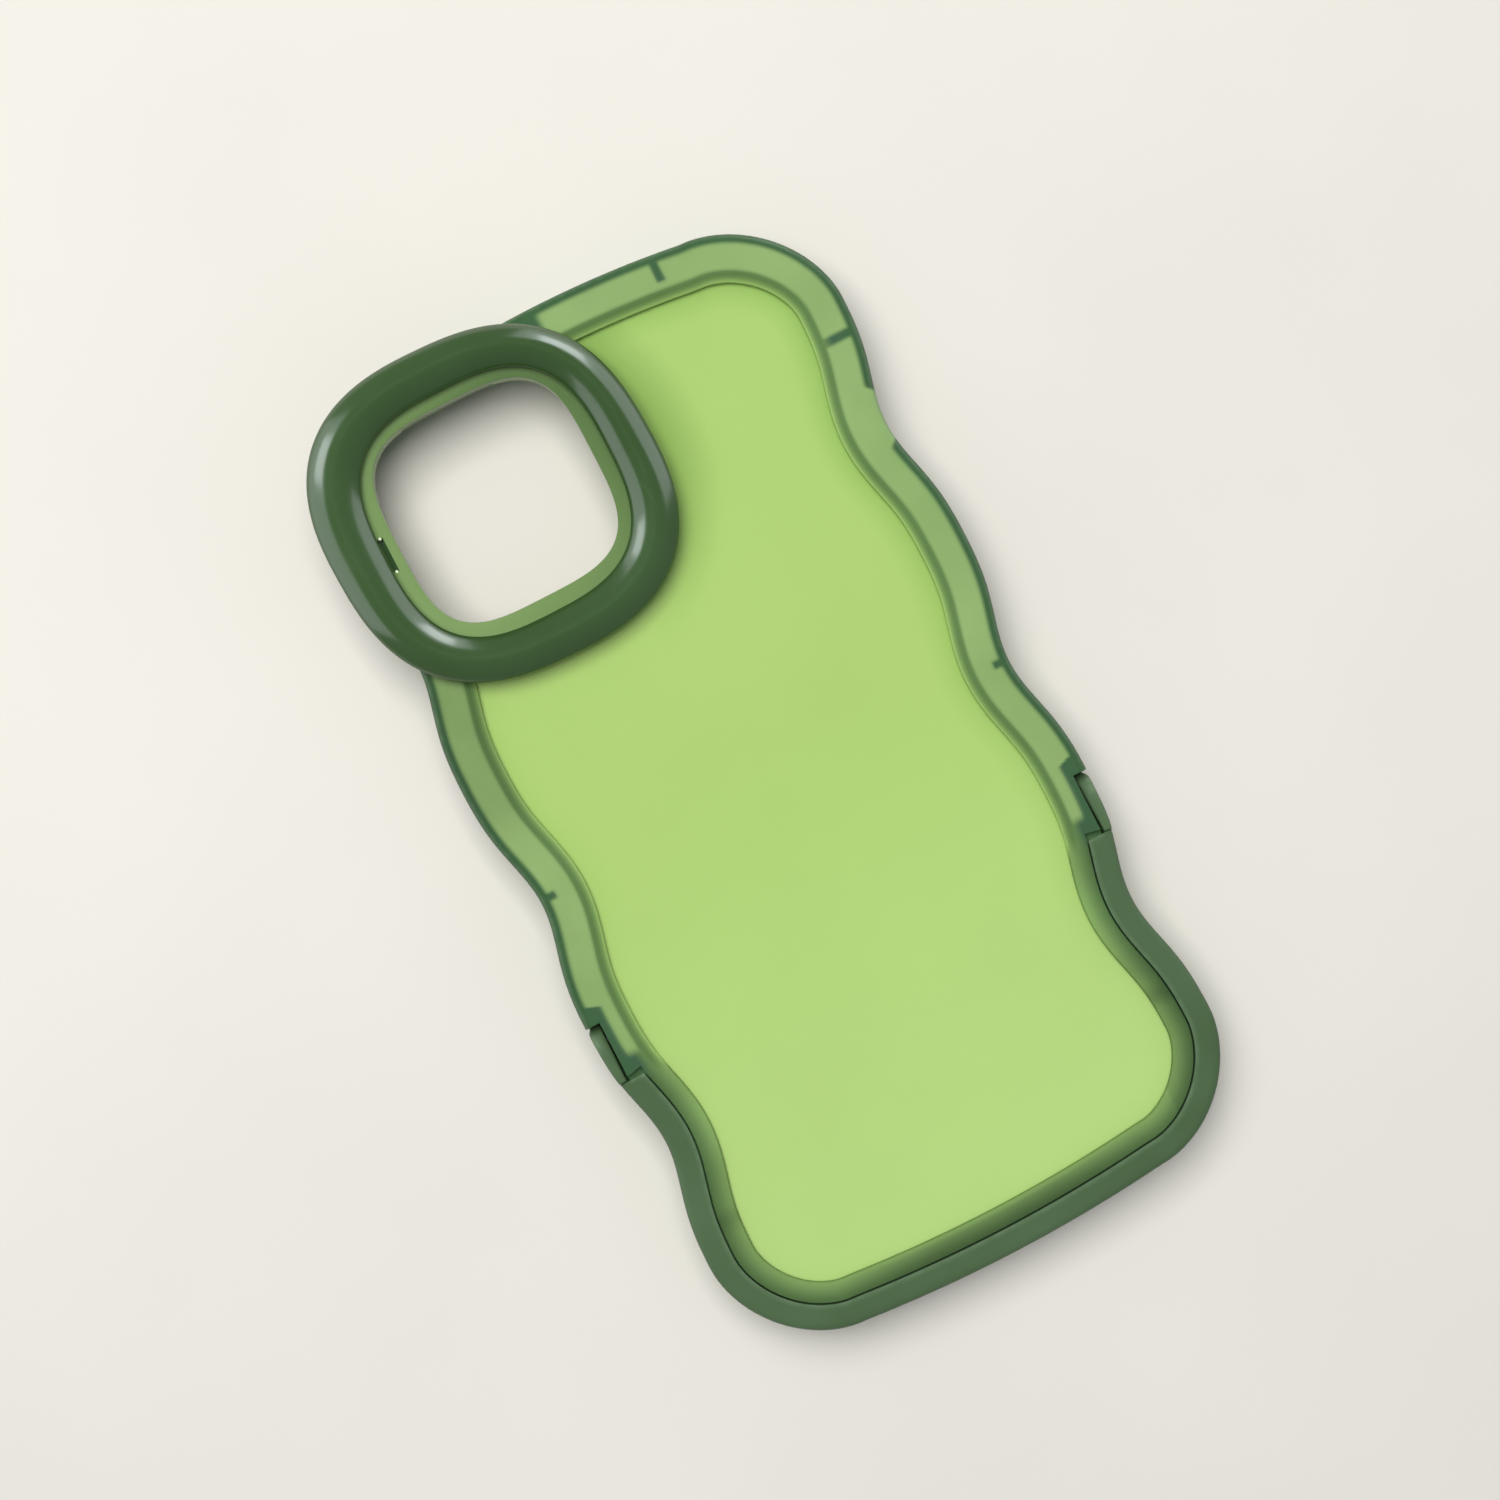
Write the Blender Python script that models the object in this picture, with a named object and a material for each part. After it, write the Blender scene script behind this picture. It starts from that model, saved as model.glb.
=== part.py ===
"""Wavy phone case: a soft bumper frame round a clear back panel, a raised ring round the camera
opening, three push buttons, and a U-shaped stand that folds out of the frame on two pins.

Metres. +Z points out of the case's back, +Y towards the camera end, and +X to the right as seen from
the back. The case lies on its open front, z = 0. Each shape is worked out about the centre of the
phone that the case holds, and the empty "case" then moves them all so that the footprint's middle is
the origin.
"""

import math

import bmesh
import bpy
from mathutils import Vector

MM = 0.001
GAP = 0.3 * MM

# The phone that the case holds.
PHONE_WIDTH = 71.5 * MM
PHONE_LENGTH = 146.7 * MM
PHONE_THICKNESS = 7.8 * MM
PHONE_CORNER = 11.5 * MM
PHONE_PLAY = 0.15 * MM

# Outline seen from the back: three troughs on each side, narrower than the crests between them, and
# corners that are slightly squared.
MEAN_HALF_WIDTH = 40.02 * MM
WAVE_HEIGHT = 1.385 * MM
WAVE_PINCH = 0.235 * MM
WAVE_LENGTH = 39.0 * MM
WAVE_Y = -0.27 * MM
CORNER_SQUARENESS = 1.83
TOP_CORNER = Vector((17.73, 17.34)) * MM
TOP_BULGE = 1.67 * MM
BOTTOM_CORNER = Vector((16.75, 17.14)) * MM
BOTTOM_BULGE = 1.33 * MM
CREST = MEAN_HALF_WIDTH + WAVE_HEIGHT - WAVE_PINCH
SIDE_STEPS = 36
CORNER_STEPS = 10
END_STEPS = 5

# Heights.
FRONT_LIP = 1.2 * MM
PANEL_Z = FRONT_LIP + PHONE_THICKNESS + GAP
PANEL_THICKNESS = 1.0 * MM
PANEL_TOP = PANEL_Z + PANEL_THICKNESS
FRAME_TOP = 12.0 * MM
BUTTON_Z = FRONT_LIP + 0.52 * PHONE_THICKNESS

# Bands of the frame, as distances inwards from the outline.
BAND_WIDTH = 7.1 * MM
PANEL_INSET = 6.6 * MM
LIP_INSET = 1.45 * MM
CHANNEL_OUTER = 1.6 * MM
CHANNEL_INNER = 5.3 * MM
CHANNEL_TONGUE = 3.9 * MM
CHANNEL_TOP = 11.2 * MM
RIB_Y = 53.0 * MM
RIB_WIDTH = 1.4 * MM

# Camera opening and ring. The squareness is a superellipse's exponent: 2 is a circle.
CUTOUT_CENTRE = Vector((-17.24, 54.7)) * MM
CUTOUT_HALF = Vector((15.46, 15.57)) * MM
CUTOUT_SQUARENESS = 3.55
COLLAR_CENTRE = Vector((-17.28, 54.35)) * MM
COLLAR_HALF = Vector((17.9, 18.0)) * MM
COLLAR_SQUARENESS = 2.9
COLLAR_TOP = 12.6 * MM
COLLAR_NOTCH = 5.6 * MM
# The ring leans: it is drawn out towards two opposite corners and drawn in at the other two.
RING_CENTRE = Vector((-17.72, 54.27)) * MM
RING_HALF = Vector((24.92, 24.63)) * MM
RING_SQUARENESS = 2.57
RING_LEAN = 0.028
RING_TOP = 16.0 * MM
RING_STEPS = 72

# Stand and its hinge.
STAND_WIDTH = 3.85 * MM
STAND_FLANGE = 1.5 * MM
STAND_SKIRT = 1.2 * MM
STAND_BOTTOM = 8.9 * MM
STAND_END_Y = -28.9 * MM
PIVOT_Y = -22.3 * MM
PIVOT_Z = 7.6 * MM
ARM_RADIUS = 2.6 * MM
ARM_INNER_X = 39.2 * MM
NOTCH_X = 38.85 * MM
SWING_RADIUS = 7.85 * MM
PIN_RADIUS = 0.8 * MM
PIN_INNER_X = 36.9 * MM
PIN_OUTER_X = 40.3 * MM

# Buttons: name, side, middle, half length.
BUTTONS = (
    ("volume_up_button", 1, 28.0 * MM, 4.8 * MM),
    ("volume_down_button", 1, 15.4 * MM, 4.8 * MM),
    ("power_button", -1, 21.7 * MM, 8.0 * MM),
)
BUTTON_HALF_HEIGHT = 1.6 * MM
BUTTON_PROUD = -0.05 * MM
POCKET_DEPTH = 0.65 * MM
POCKET_GROWTH = 0.8 * MM
FLANGE_INNER_X = 36.5 * MM
FLANGE_OUTER_X = 37.2 * MM
FLANGE_GROWTH = 0.7 * MM


def clear_scene():
    for old in list(bpy.data.objects):
        bpy.data.objects.remove(old)


def make_material(name, colour, roughness, metallic=0.0, alpha=1.0):
    material = bpy.data.materials.new(name)
    material.use_nodes = True
    shader = material.node_tree.nodes["Principled BSDF"]
    shader.inputs["Base Color"].default_value = (*colour, 1.0)
    shader.inputs["Roughness"].default_value = roughness
    shader.inputs["Metallic"].default_value = metallic
    shader.inputs["Alpha"].default_value = alpha
    return material


def add_object(name, bm, parent, material=None):
    """Turns a bmesh into an object. One with no material is a cutter."""
    bmesh.ops.recalc_face_normals(bm, faces=bm.faces)
    mesh = bpy.data.meshes.new(name)
    bm.to_mesh(mesh)
    bm.free()
    obj = bpy.data.objects.new(name, mesh)
    bpy.context.scene.collection.objects.link(obj)
    obj.parent = parent
    if material is None:
        obj.hide_render = True
        obj.display_type = "WIRE"
    else:
        mesh.materials.append(material)
        mesh.shade_smooth()
        mesh.set_sharp_from_angle(angle=math.radians(35))
    return obj


def set_origin(obj, point):
    """Moves the object's origin to the point and leaves its shape where it is."""
    for vertex in obj.data.vertices:
        vertex.co -= point
    obj.location = point


def combine(target, other, operation):
    modifier = target.modifiers.new(other.name, "BOOLEAN")
    modifier.operation = operation
    modifier.solver = "EXACT"
    modifier.object = other


def mix(low, high, share):
    return low + (high - low) * min(max(share, 0.0), 1.0)


# ---- outlines -----------------------------------------------------------------------------------


def side_x(y):
    turn = 2 * math.pi * (y - WAVE_Y) / WAVE_LENGTH
    return MEAN_HALF_WIDTH - WAVE_HEIGHT * math.cos(turn) - WAVE_PINCH * math.cos(2 * turn)


SIDE_TOP = WAVE_Y + 1.5 * WAVE_LENGTH
SIDE_BOTTOM = WAVE_Y - 1.5 * WAVE_LENGTH


def end_half(end, corner, bulge, side_y):
    """One end's right half, from the side to the middle: a squared corner, then a bulging edge."""
    middle_x = CREST - corner.x
    power = 2 / CORNER_SQUARENESS
    points = []
    for step in range(1, CORNER_STEPS + 1):
        turn = 0.5 * math.pi * step / CORNER_STEPS
        x = middle_x + corner.x * math.cos(turn) ** power if step < CORNER_STEPS else middle_x
        points.append(Vector((x, side_y + end * corner.y * math.sin(turn) ** power)))
    for step in range(1, END_STEPS + 1):
        x = middle_x * (1 - step / END_STEPS)
        rise = corner.y + bulge * (1 - (x / middle_x) ** 2)
        points.append(Vector((x, side_y + end * rise)))
    return points


def side_points(start_y, end_y, steps):
    heights = [mix(start_y, end_y, step / steps) for step in range(steps + 1)]
    return [Vector((side_x(y), y)) for y in heights]


def mirrored(points):
    return [Vector((-point.x, point.y)) for point in reversed(points)]


def whole_outline():
    """The closed outline, anticlockwise from the middle of the bottom edge."""
    bottom = list(reversed(end_half(-1, BOTTOM_CORNER, BOTTOM_BULGE, SIDE_BOTTOM)))
    side = side_points(SIDE_BOTTOM, SIDE_TOP, SIDE_STEPS)
    right = bottom + side + end_half(1, TOP_CORNER, TOP_BULGE, SIDE_TOP)
    return right + mirrored(right)[1:-1]


def lower_outline(end_y):
    """The outline's open lower part, from the left side at end_y round the bottom to the right."""
    steps = round(SIDE_STEPS * (end_y - SIDE_BOTTOM) / (SIDE_TOP - SIDE_BOTTOM))
    bottom = list(reversed(end_half(-1, BOTTOM_CORNER, BOTTOM_BULGE, SIDE_BOTTOM)))
    right = bottom + side_points(SIDE_BOTTOM, end_y, steps)
    return mirrored(right)[:-1] + right


def stations(points, closed):
    """Each point with its inward normal, for an anticlockwise path."""
    found = []
    last = len(points) - 1
    for index, point in enumerate(points):
        after = points[(index + 1) % len(points)] if closed else points[min(index + 1, last)]
        before = points[index - 1] if closed else points[max(index - 1, 0)]
        along = (after - before).normalized()
        found.append((point, Vector((-along.y, along.x))))
    return found


def inset_outline(distance):
    return [point + normal * distance for point, normal in stations(whole_outline(), True)]


def rounded_rectangle(half_width, half_length, radius, steps=8):
    points = []
    for quarter, (sx, sy) in enumerate(((1, 1), (-1, 1), (-1, -1), (1, -1))):
        centre = Vector((sx * (half_width - radius), sy * (half_length - radius)))
        for step in range(steps + 1):
            turn = 0.5 * math.pi * (quarter + step / steps)
            points.append(centre + radius * Vector((math.cos(turn), math.sin(turn))))
    return points


def superellipse(centre, half, squareness, lean=0.0, steps=RING_STEPS):
    points = []
    for step in range(steps):
        turn = 2 * math.pi * step / steps
        c, s = math.cos(turn), math.sin(turn)
        x = math.copysign(abs(c) ** (2 / squareness), c)
        y = math.copysign(abs(s) ** (2 / squareness), s)
        points.append(centre + (1 - lean * x * y) * Vector((half.x * x, half.y * y)))
    return points


def slot_outline(half_length, half_height, steps=8):
    """A slot with round ends, as (along, up) pairs about its middle."""
    points = []
    for side in (1, -1):
        for step in range(steps + 1):
            turn = math.pi * (step / steps - 0.5)
            along = half_length - half_height + half_height * math.cos(turn)
            points.append((side * along, side * half_height * math.sin(turn)))
    return points


# ---- solids -------------------------------------------------------------------------------------


def stack(loops):
    """A closed solid through loops of the same number of points, with a face across each end."""
    bm = bmesh.new()
    rows = [[bm.verts.new(point) for point in loop] for loop in loops]
    count = len(rows[0])
    for low, high in zip(rows, rows[1:]):
        for i in range(count):
            j = (i + 1) % count
            bm.faces.new((low[i], low[j], high[j], high[i]))
    bm.faces.new(reversed(rows[0]))
    bm.faces.new(rows[-1])
    return bm


def prism(outline, low, high):
    return stack([[(*point, z) for point in outline] for z in (low, high)])


def sweep(path, section_at, closed):
    """Carries a section of (distance inwards, height) pairs along the stations of a path."""
    rows = []
    for point, normal in path:
        section = section_at(point)
        rows.append([(*(point + normal * inwards), z) for inwards, z in section])
    if not closed:
        return stack(rows)
    bm = bmesh.new()
    grid = [[bm.verts.new(point) for point in row] for row in rows]
    count = len(grid[0])
    for near, far in zip(grid, grid[1:] + grid[:1]):
        for i in range(count):
            j = (i + 1) % count
            bm.faces.new((near[i], near[j], far[j], far[i]))
    return bm


def merged(parts):
    """Several closed shapes that don't touch, as one bmesh."""
    whole = bmesh.new()
    for part in parts:
        mesh = bpy.data.meshes.new("part")
        part.to_mesh(mesh)
        part.free()
        whole.from_mesh(mesh)
        bpy.data.meshes.remove(mesh)
    return whole


def box(x, y, z):
    corners = [Vector((x[i], y[j])) for i, j in ((0, 0), (1, 0), (1, 1), (0, 1))]
    return prism(corners, *z)


def rod(radius, x, y, z, steps=24):
    """A round bar along X."""
    loops = []
    for at in x:
        turns = [2 * math.pi * step / steps for step in range(steps)]
        loops.append([(at, y + radius * math.cos(t), z + radius * math.sin(t)) for t in turns])
    return stack(loops)


# ---- bumper frame -------------------------------------------------------------------------------


def frame_section(point):
    """The frame's full section. Beside the stand, its inner band slopes down to the panel."""
    slope = (STAND_END_Y + 4 * MM - point.y) / (4 * MM)
    return (
        (1.3 * MM, 0.0),
        (0.35 * MM, 0.4 * MM),
        (0.0, 1.4 * MM),
        (0.0, FRAME_TOP - 1.4 * MM),
        (0.35 * MM, FRAME_TOP - 0.4 * MM),
        (1.3 * MM, FRAME_TOP),
        (STAND_WIDTH + 0.4 * MM, FRAME_TOP),
        (5.5 * MM, mix(FRAME_TOP, FRAME_TOP - 0.65 * MM, slope)),
        (6.4 * MM, mix(FRAME_TOP - 0.3 * MM, FRAME_TOP - 0.9 * MM, slope)),
        (BAND_WIDTH, mix(FRAME_TOP - 0.9 * MM, FRAME_TOP - 1.0 * MM, slope)),
        (BAND_WIDTH, 0.0),
    )


def phone_cavity():
    half = Vector((PHONE_WIDTH, PHONE_LENGTH)) / 2
    inner = rounded_rectangle(half.x + PHONE_PLAY, half.y + PHONE_PLAY, PHONE_CORNER + PHONE_PLAY)
    mouth = rounded_rectangle(half.x - LIP_INSET, half.y - LIP_INSET, PHONE_CORNER - LIP_INSET)
    levels = ((mouth, -1 * MM), (mouth, FRONT_LIP), (inner, FRONT_LIP), (inner, PANEL_Z))
    return stack([[(*point, z) for point in outline] for outline, z in levels])


def channel_section(point):
    """The air channel under the band, narrowed to a tongue beside each hinge notch."""
    outer = mix(CHANNEL_OUTER, CHANNEL_TONGUE, (-16.0 * MM - point.y) / (3 * MM))
    low = PANEL_Z - GAP
    return ((outer, low), (CHANNEL_INNER, low), (CHANNEL_INNER, CHANNEL_TOP), (outer, CHANNEL_TOP))


def air_channels():
    """Three lengths of channel: below the rib, from the rib over the corner, and the left side."""
    lower_right = side_points(-25.5 * MM, RIB_Y - RIB_WIDTH / 2, 24)
    corner = end_half(1, TOP_CORNER, TOP_BULGE, SIDE_TOP)
    upper_right = side_points(RIB_Y + RIB_WIDTH / 2, SIDE_TOP, 2) + corner
    left = mirrored(side_points(-25.5 * MM, 33.0 * MM, 18))
    return merged(
        sweep(stations(path, False), channel_section, False)
        for path in (lower_right, upper_right, left)
    )


def stand_recess_section(point):
    floor = FRAME_TOP - STAND_FLANGE - GAP
    return (
        (-2 * MM, STAND_BOTTOM - GAP),
        (STAND_SKIRT + GAP, STAND_BOTTOM - GAP),
        (STAND_SKIRT + GAP, floor),
        (STAND_WIDTH + GAP, floor),
        (STAND_WIDTH + GAP, FRAME_TOP + 1 * MM),
        (-2 * MM, FRAME_TOP + 1 * MM),
    )


def hinge_notches():
    top = PIVOT_Y + ARM_RADIUS + GAP
    bottom = PIVOT_Z - ARM_RADIUS - GAP
    notches = []
    for side in (-1, 1):
        across = sorted((side * NOTCH_X, side * (CREST + 2 * MM)))
        notches.append(box(across, (STAND_END_Y, top), (bottom, FRAME_TOP + 1 * MM)))
    return merged(notches)


def pin_holes():
    holes = []
    for side in (-1, 1):
        ends = (side * (PIN_INNER_X - GAP), side * (PIN_OUTER_X + GAP))
        holes.append(rod(PIN_RADIUS + 0.25 * MM, ends, PIVOT_Y, PIVOT_Z))
    return merged(holes)


def button_body(side, middle, half_length, growth=0.0, beyond=0.0):
    """A button with its retaining flange, or with growth and beyond the hole that it slides in."""

    def loop(extra, x_at):
        outline = slot_outline(half_length + extra, BUTTON_HALF_HEIGHT + extra)
        return [(side * x_at(middle + y), middle + y, BUTTON_Z + z) for y, z in outline]

    inner = FLANGE_INNER_X - (1.5 * MM if growth else 0.0)
    flange = FLANGE_GROWTH + growth
    return stack(
        [
            loop(flange, lambda y: inner),
            loop(flange, lambda y: FLANGE_OUTER_X + growth),
            loop(growth, lambda y: FLANGE_OUTER_X + growth),
            loop(growth, lambda y: side_x(y) + BUTTON_PROUD - 0.35 * MM + beyond),
            loop(growth - 0.4 * MM, lambda y: side_x(y) + BUTTON_PROUD + beyond),
        ]
    )


def button_pockets():
    """The shallow hollows in the side walls round the buttons, which stand level with the outline."""
    pockets = []
    for _, side, middle, half_length in BUTTONS:
        loops = []
        for growth, beyond in ((POCKET_GROWTH, -POCKET_DEPTH), (POCKET_GROWTH + 0.4 * MM, 1 * MM)):
            outline = slot_outline(half_length + growth, BUTTON_HALF_HEIGHT + growth)
            loops.append(
                [(side * (side_x(middle + y) + beyond), middle + y, BUTTON_Z + z) for y, z in outline]
            )
        pockets.append(stack(loops))
    return merged(pockets)


def end_openings():
    """The charging port's opening and the two sound slots through the bottom wall."""
    port_z = FRONT_LIP + PHONE_THICKNESS / 2
    shapes = ((0.0, 6.8 * MM, 2.7 * MM), (-14.5 * MM, 4.8 * MM, 1.1 * MM), (14.5 * MM, 4.8 * MM, 1.1 * MM))
    openings = []
    for middle, half_length, half_height in shapes:
        outline = slot_outline(half_length, half_height)
        ends = (-PHONE_LENGTH / 2 - 6 * MM, -PHONE_LENGTH / 2 + 2 * MM)
        openings.append(stack([[(middle + x, y, port_z + z) for x, z in outline] for y in ends]))
    return merged(openings)


def switch_opening():
    """The opening over the phone's mute switch, through the right wall."""
    outline = slot_outline(4.4 * MM, 2.6 * MM)
    ends = (PHONE_WIDTH / 2 - 2 * MM, CREST + 1 * MM)
    return stack([[(x, 40.3 * MM + y, 5.4 * MM + z) for y, z in outline] for x in ends])


def build_frame(root, material):
    path = stations(whole_outline(), True)
    frame = add_object("bumper_frame", sweep(path, frame_section, True), root, material)
    recess = stations(lower_outline(STAND_END_Y + 0.5 * MM), False)
    collar_room = superellipse(COLLAR_CENTRE, COLLAR_HALF + Vector((GAP, GAP)), COLLAR_SQUARENESS)
    cutters = [
        ("cavity_cutter", phone_cavity()),
        ("panel_cutter", prism(inset_outline(PANEL_INSET - GAP), PANEL_Z - GAP, PANEL_TOP + GAP)),
        ("channel_cutter", air_channels()),
        ("recess_cutter", sweep(recess, stand_recess_section, False)),
        ("notch_cutter", hinge_notches()),
        ("collar_cutter", prism(collar_room, PANEL_Z - GAP, FRAME_TOP + 2 * MM)),
        ("port_cutter", end_openings()),
        ("switch_cutter", switch_opening()),
        ("pocket_cutter", button_pockets()),
    ]
    for name, side, middle, half_length in BUTTONS:
        hole = button_body(side, middle, half_length, GAP, 2 * MM)
        cutters.append((name + "_cutter", hole))
    for name, shape in cutters:
        combine(frame, add_object(name, shape, root), "DIFFERENCE")
    return frame


# ---- back panel and camera ring -----------------------------------------------------------------


def build_panel(root, material):
    plate = prism(inset_outline(PANEL_INSET), PANEL_Z, PANEL_TOP)
    panel = add_object("back_panel", plate, root, material)
    collar = superellipse(COLLAR_CENTRE, COLLAR_HALF, COLLAR_SQUARENESS)
    cutout = superellipse(CUTOUT_CENTRE, CUTOUT_HALF, CUTOUT_SQUARENESS)
    notch_x = COLLAR_CENTRE.x - COLLAR_HALF.x
    notch_y = COLLAR_CENTRE.y + 0.5 * MM
    notch = box(
        (notch_x - 1 * MM, notch_x + 0.7 * MM),
        (notch_y - COLLAR_NOTCH / 2, notch_y + COLLAR_NOTCH / 2),
        (COLLAR_TOP - 0.9 * MM, COLLAR_TOP + 1 * MM),
    )
    raised = add_object("collar_shape", prism(collar, PANEL_Z, COLLAR_TOP), root)
    combine(panel, raised, "UNION")
    opening = prism(cutout, PANEL_Z - 1 * MM, COLLAR_TOP + 1 * MM)
    combine(panel, add_object("camera_cutter", opening, root), "DIFFERENCE")
    combine(panel, add_object("collar_notch_cutter", notch, root), "DIFFERENCE")
    return panel


def ring_section():
    """(share of the way from the outer edge to the inner, height) round the ring's section."""
    foot = PANEL_TOP + GAP
    rim = RING_TOP - FRAME_TOP
    return (
        (0.10, foot),
        (0.08, FRAME_TOP + GAP),
        (0.00, FRAME_TOP + 0.30 * rim),
        (0.00, FRAME_TOP + 0.50 * rim),
        (0.04, FRAME_TOP + 0.59 * rim),
        (0.12, FRAME_TOP + 0.71 * rim),
        (0.25, FRAME_TOP + 0.87 * rim),
        (0.40, FRAME_TOP + 0.98 * rim),
        (0.50, RING_TOP),
        (0.60, FRAME_TOP + 0.98 * rim),
        (0.76, FRAME_TOP + 0.87 * rim),
        (0.88, FRAME_TOP + 0.71 * rim),
        (0.96, FRAME_TOP + 0.59 * rim),
        (1.00, FRAME_TOP + 0.50 * rim),
        (1.00, foot),
    )


def build_ring(root, material):
    """The ring reaches down to the panel, and is cut back where it stands on the frame's band."""
    outer = superellipse(RING_CENTRE, RING_HALF, RING_SQUARENESS, RING_LEAN)
    inner = superellipse(COLLAR_CENTRE, COLLAR_HALF + Vector((GAP, GAP)), COLLAR_SQUARENESS)
    bm = bmesh.new()
    rows = []
    for near, far in zip(outer, inner):
        points = [(*near.lerp(far, share), z) for share, z in ring_section()]
        rows.append([bm.verts.new(point) for point in points])
    for first, second in zip(rows, rows[1:] + rows[:1]):
        for i in range(len(first)):
            j = (i + 1) % len(first)
            bm.faces.new((first[i], first[j], second[j], second[i]))
    ring = add_object("camera_ring", bm, root, material)
    reach = BAND_WIDTH + GAP
    band = ((-6 * MM, PANEL_Z), (reach, PANEL_Z), (reach, FRAME_TOP + GAP), (-6 * MM, FRAME_TOP + GAP))
    room = sweep(stations(whole_outline(), True), lambda point: band, True)
    combine(ring, add_object("band_cutter", room, root), "DIFFERENCE")
    return ring


# ---- stand --------------------------------------------------------------------------------------


def stand_section(point):
    underside = FRAME_TOP - STAND_FLANGE
    return (
        (0.25 * MM, STAND_BOTTOM),
        (STAND_SKIRT, STAND_BOTTOM),
        (STAND_SKIRT, underside),
        (STAND_WIDTH, underside),
        (STAND_WIDTH, FRAME_TOP - 0.3 * MM),
        (STAND_WIDTH - 0.3 * MM, FRAME_TOP),
        (1.2 * MM, FRAME_TOP),
        (0.35 * MM, FRAME_TOP - 0.4 * MM),
        (0.0, FRAME_TOP - 1.3 * MM),
        (0.0, STAND_BOTTOM + 0.3 * MM),
    )


def stand_arm(side):
    """The arm from the pivot's round end down to the band, whose skirt it runs into."""
    loops = []
    for ahead in (0.98, 0.9, 0.7, 0.35, 0.0):
        half = ARM_RADIUS * math.sqrt(1 - ahead**2)
        y = PIVOT_Y + ARM_RADIUS * ahead
        loops.append((y, ARM_INNER_X, side_x(y) + 0.1 * MM, PIVOT_Z - half, PIVOT_Z + half))
    top = PIVOT_Z + ARM_RADIUS
    last = STAND_END_Y - 0.6 * MM
    for share in (0.3, 0.6, 0.84):
        y = mix(PIVOT_Y, last, share)
        low = mix(PIVOT_Z - ARM_RADIUS, STAND_BOTTOM, share)
        loops.append((y, ARM_INNER_X, side_x(y) + 0.1 * MM * (1 - share), low, top))
    loops.append((last, side_x(last) - STAND_SKIRT, side_x(last), STAND_BOTTOM, FRAME_TOP - 1.3 * MM))
    for further in (1.5 * MM, 3.0 * MM):
        y = last - further
        inner, outer = side_x(y) - STAND_SKIRT + 0.1 * MM, side_x(y) - 0.1 * MM
        loops.append((y, inner, outer, STAND_BOTTOM + 0.15 * MM, FRAME_TOP - 1.4 * MM))
    corners = []
    for y, inner, outer, low, high in loops:
        square = ((inner, low), (outer, low), (outer, high), (inner, high))
        corners.append([(side * x, y, z) for x, z in square])
    return stack(corners)


def build_stand(root, material, holes):
    band = sweep(stations(lower_outline(STAND_END_Y), False), stand_section, False)
    stand = add_object("kickstand", band, root, material)
    set_origin(stand, Vector((0.0, PIVOT_Y, PIVOT_Z)))
    swing = rod(SWING_RADIUS, (-CREST, CREST), PIVOT_Y, PIVOT_Z, 64)
    combine(stand, add_object("swing_cutter", swing, root), "DIFFERENCE")
    arms = merged(stand_arm(side) for side in (-1, 1))
    combine(stand, add_object("arm_shape", arms, root), "UNION")
    combine(stand, holes, "DIFFERENCE")
    return stand


def build_pin(name, side, root, material):
    ends = (side * PIN_INNER_X, side * PIN_OUTER_X)
    pin = add_object(name, rod(PIN_RADIUS, ends, PIVOT_Y, PIVOT_Z), root, material)
    set_origin(pin, Vector((side * PIN_OUTER_X, PIVOT_Y, PIVOT_Z)))
    return pin


def build_button(name, side, middle, half_length, root, material):
    button = add_object(name, button_body(side, middle, half_length), root, material)
    set_origin(button, Vector((side * FLANGE_OUTER_X, middle, BUTTON_Z)))
    return button


def centre_footprint(root, pieces):
    """Moves the whole case so that the middle of its footprint is at the origin."""
    bpy.context.view_layer.update()
    graph = bpy.context.evaluated_depsgraph_get()
    corners = []
    for piece in pieces:
        solid = piece.evaluated_get(graph)
        corners += [solid.matrix_world @ Vector(corner) for corner in solid.bound_box]
    for axis in (0, 1):
        values = [corner[axis] for corner in corners]
        root.location[axis] = -(min(values) + max(values)) / 2


def main():
    clear_scene()
    root = bpy.data.objects.new("case", None)
    bpy.context.scene.collection.objects.link(root)
    soft_green = make_material("soft_green", (0.19, 0.36, 0.13), 0.35, alpha=0.9)
    clear_green = make_material("clear_green", (0.46, 0.68, 0.20), 0.15, alpha=0.6)
    ring_green = make_material("ring_green", (0.05, 0.12, 0.035), 0.15)
    stand_green = make_material("stand_green", (0.08, 0.16, 0.07), 0.45)
    button_green = make_material("button_green", (0.06, 0.14, 0.05), 0.3)
    steel = make_material("steel", (0.55, 0.56, 0.57), 0.35, metallic=1.0)

    holes = add_object("pin_cutter", pin_holes(), root)
    frame = build_frame(root, soft_green)
    combine(frame, holes, "DIFFERENCE")
    pieces = [frame, build_panel(root, clear_green), build_ring(root, ring_green)]
    pieces.append(build_stand(root, stand_green, holes))
    for side, word in ((-1, "left"), (1, "right")):
        pieces.append(build_pin("hinge_pin_" + word, side, root, steel))
    for name, side, middle, half_length in BUTTONS:
        pieces.append(build_button(name, side, middle, half_length, root, button_green))
    centre_footprint(root, pieces)


main()
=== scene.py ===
"""Looks of the wavy phone case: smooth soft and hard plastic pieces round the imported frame, a pale
floor, soft studio light and a camera above the case.

Shapes are worked out in millimetres about the centre of the phone that the case holds. SHIFT takes
them to the frame's origin, and a mesh is in metres.
"""

import math

import bmesh
import bpy
import numpy as np
from mathutils import Matrix, Vector
from mathutils.kdtree import KDTree


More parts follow.
